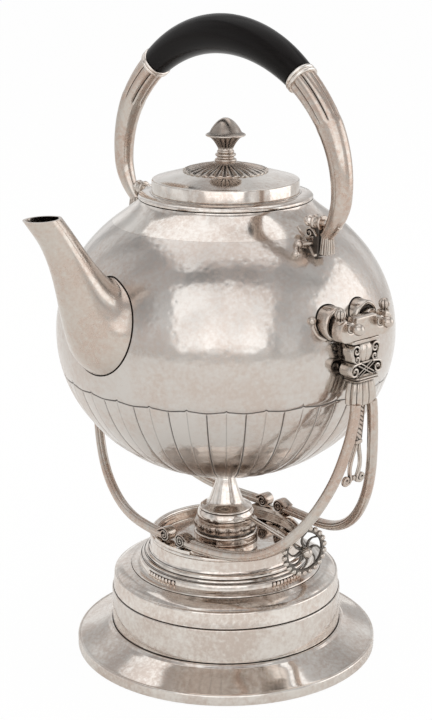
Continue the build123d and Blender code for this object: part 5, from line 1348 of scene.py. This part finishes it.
class SPIRITKETTLE_OT_regulator(bpy.types.Operator):
    """Beaded wheel of the wick regulator, with its rod and pinion"""

    bl_idname = "spirit_kettle.regulator"
    bl_label = "Wick regulator"

    def execute(self, context):
        settings = context.scene.spirit_kettle.stand
        turn = radians(13.0)
        away = np.array([-sin(turn), -cos(turn), 0.0])
        level = np.array([cos(turn), -sin(turn), 0.0])
        upright = np.array([0, 0, 1.0])
        centre = 7.8 * level + 65.6 * away + (0, 0, 72.6)
        rim = [(10.1, -0.8), (11.5, -0.9), (11.9, -0.4), (11.9, 0.4), (11.5, 0.9), (10.1, 0.8), (9.8, 0.0)]
        spokes = [moved(lathe(rim, 80), centre, away, level)]
        hub = trace(
            (1.3, -1.6), (2.4, -1.6), (2.6, -1.0), (2.6, 1.0), ((2.6, 1.6), (2.2, 4.4), (0.0, 5.6), 10),
            (0.0, 1.0), (1.3, 1.0))
        shells = [moved(lathe(hub, 32), centre, away, level)]
        widths = np.interp(np.linspace(0, 1, 21), (0, .3, .65, 1), (1.1, 1.0, .55, .8))
        for a in TAU * np.arange(8) / 8:
            leaf = [centre + r * (cos(a + bend) * level + sin(a + bend) * upright) for r, bend in (
                (1.8, 0.0), (3.4, 0.22), (5.4, 0.30), (7.6, 0.16), (9.4, -0.05), (10.6, -0.12))]
            spokes.append(tube(curve(leaf, 4), widths, 12, away, 0.75))
            petal = [centre + 1.2 * away + r * (cos(a + 0.4) * level + sin(a + 0.4) * upright)
                     for r in (1.6, 2.8, 4.2)]
            spokes.append(tube(petal, (0.6, 0.95, 0.4), 10, away, 0.9, rounded=True))
        ring = beaded("regulator_beads", groups=1, beads=settings.wheel_beads, radius=settings.wheel_radius,
                      height=0.0, step=TAU / settings.wheel_beads, bead_radius=1.5 * MM,
                      material=finish_named("chased silver"))
        shells.append(moved(taken(ring), centre, away, level))
        piece("regulator_rose", shells, "chased silver", "regulator", ["regulator_wheel"],
              recess=2.6, strength=2.6)
        # The rim, leaves and petals inside the beads are coloured evenly dark.
        seam_and_shade("regulator_spokes", spokes, "regulator", 0.72)
        carried("regulator_rod", "polished silver")
        carried("regulator_pinion", "turned brass")
        return {"FINISHED"}


# ------------------------------------------------------------------ stage

WHITE = (1, 1, 1, 1)


class SPIRITKETTLE_OT_stage(bpy.types.Operator):
    """Floor, light and camera"""

    bl_idname = "spirit_kettle.stage"
    bl_label = "Stage"

    def execute(self, context):
        scene = context.scene
        mesh = bpy.data.meshes.new("studio_floor")
        half = 20.0
        mesh.from_pydata([(-half, -half, 0), (half, -half, 0), (half, half, 0), (-half, half, 0)], [],
                         [(0, 1, 2, 3)])
        floor = linked("studio_floor", mesh)
        # Paper that burns out to white for the camera, and only catches light and shadow otherwise.
        paper = bpy.data.materials.new("white studio paper")
        tree = emptied(paper)
        rays = add(tree, "ShaderNodeLightPath").outputs
        seen = arithmetic(tree, "MULTIPLY", rays["Is Camera Ray"], 0.96)
        matt = add(tree, "ShaderNodeBsdfDiffuse", {"Color": linear("#efeeec")}).outputs[0]
        glow = add(tree, "ShaderNodeEmission", {"Color": WHITE, "Strength": 1.0}).outputs[0]
        mixed = add(tree, "ShaderNodeMixShader", {0: seen, 1: matt, 2: glow}).outputs[0]
        add(tree, "ShaderNodeOutputMaterial", {"Surface": mixed})
        mesh.materials.append(paper)

        scene.world = bpy.data.worlds.new("white studio")
        tree = emptied(scene.world)
        rays = add(tree, "ShaderNodeLightPath").outputs
        toward = add(tree, "ShaderNodeTexCoord").outputs["Generated"]
        height = add(tree, "ShaderNodeSeparateXYZ", {0: toward}).outputs["Z"]
        # Glossy rays see a white wall that falls off to a grey ceiling.
        ramp = add(tree, "ShaderNodeValToRGB", {"Fac": height})
        stops = ramp.color_ramp.elements
        stops[0].position, stops[0].color = 0.0, (0.88, 0.87, 0.86, 1)
        stops[1].position, stops[1].color = 1.0, (0.5, 0.49, 0.49, 1)
        for place, level in ((0.2, 0.92), (0.45, 0.78), (0.7, 0.62)):
            stops.new(place).color = (level, level, level, 1)
        # Upright bands, as of a row of cards and windows, give the turned pieces their streaks.
        upright = add(tree, "ShaderNodeMapping", {"Vector": toward, "Scale": (1.0, 1.0, 0.12)}).outputs[0]
        cards = remap(tree, noise(tree, upright, 3.2, 2.0, 0.6), 0.36, 0.56, 0.62, 1.04)

        def lit(colour, strength):
            """Light from all round."""
            return add(tree, "ShaderNodeBackground", {"Color": colour, "Strength": strength}).outputs[0]

        shiny = arithmetic(tree, "MAXIMUM", rays["Is Glossy Ray"], rays["Is Transmission Ray"])
        mixed = add(tree, "ShaderNodeMixShader", {
            0: shiny, 1: lit(WHITE, 0.85), 2: lit(ramp.outputs["Color"], cards)}).outputs[0]
        mixed = add(tree, "ShaderNodeMixShader", {
            0: rays["Is Camera Ray"], 1: mixed, 2: lit(WHITE, 1.0)}).outputs[0]
        add(tree, "ShaderNodeOutputWorld", {"Surface": mixed})

        for name, place, size, power in (("key softbox", (-1.25, -1.22, 1.25), (2.5, 2.1), 13.5),
                                         ("fill softbox", (1.5, -1.2, 0.55), (1.7, 1.7), 7.5),
                                         ("top softbox", (0.2, 0.3, 1.8), (1.8, 1.8), 7.5)):
            lamp = bpy.data.lights.new(name, "AREA")
            lamp.shape = "RECTANGLE"
            lamp.size, lamp.size_y = size
            lamp.energy = power
            thing = linked(name, lamp)
            thing.location = place
            thing.rotation_euler = (Vector((0, 0, 0.16)) - Vector(place)).to_track_quat("-Z", "Y").to_euler()

        # The camera was worked out from the photograph's ellipses.
        lens = bpy.data.cameras.new("view of the photograph")
        lens.sensor_width = 36.0
        lens.lens = 82.06
        lens.clip_end = 60.0
        camera = linked("view of the photograph", lens)
        forward = Vector((0.6555, 0.7029, -0.2763)).normalized()
        roll = Matrix.Rotation(0.0023, 3, forward)
        right = roll @ forward.cross(Vector((0, 0, 1))).normalized()
        up = right.cross(forward)
        camera.matrix_world = Matrix.Translation((-0.5686, -0.6022, 0.3965)) @ Matrix(
            (right, up, -forward)).transposed().to_4x4()
        scene.camera = camera
        scene.view_settings.view_transform = "Standard"
        return {"FINISHED"}


class SPIRITKETTLE_PT_panel(bpy.types.Panel):
    """Lists the steps in the order they run"""

    bl_idname = "SPIRITKETTLE_PT_panel"
    bl_label = "Spirit kettle"
    bl_space_type = "VIEW_3D"
    bl_region_type = "UI"
    bl_category = "Kettle"

    def draw(self, context):
        for operator in OPERATORS:
            self.layout.operator(operator.bl_idname)
        settings = context.scene.spirit_kettle
        for group in (settings.finish, settings.stand, settings.kettle):
            for key in group.__annotations__:
                self.layout.prop(group, key)


OPERATORS = (
    SPIRITKETTLE_OT_stage, SPIRITKETTLE_OT_body, SPIRITKETTLE_OT_spout, SPIRITKETTLE_OT_lid,
    SPIRITKETTLE_OT_trunnions, SPIRITKETTLE_OT_handle, SPIRITKETTLE_OT_handle_lugs, SPIRITKETTLE_OT_base,
    SPIRITKETTLE_OT_bead_strips, SPIRITKETTLE_OT_lamp, SPIRITKETTLE_OT_snuffer, SPIRITKETTLE_OT_yokes,
    SPIRITKETTLE_OT_capitals, SPIRITKETTLE_OT_pendants, SPIRITKETTLE_OT_arms, SPIRITKETTLE_OT_regulator,
)
CLASSES = (FinishSettings, StandSettings, KettleSettings, KettleScene) + OPERATORS + (SPIRITKETTLE_PT_panel,)


def register():
    """Make the settings, steps and panel known to Blender."""
    for cls in CLASSES:
        bpy.utils.register_class(cls)
    bpy.types.Scene.spirit_kettle = PointerProperty(type=KettleScene)


def unregister():
    """Take them away again."""
    del bpy.types.Scene.spirit_kettle
    for cls in reversed(CLASSES):
        bpy.utils.unregister_class(cls)


def main():
    """Run every step in order."""
    register()
    for operator in OPERATORS:
        group, step = operator.bl_idname.split(".")
        getattr(getattr(bpy.ops, group), step)()


if __name__ == "__main__":
    main()
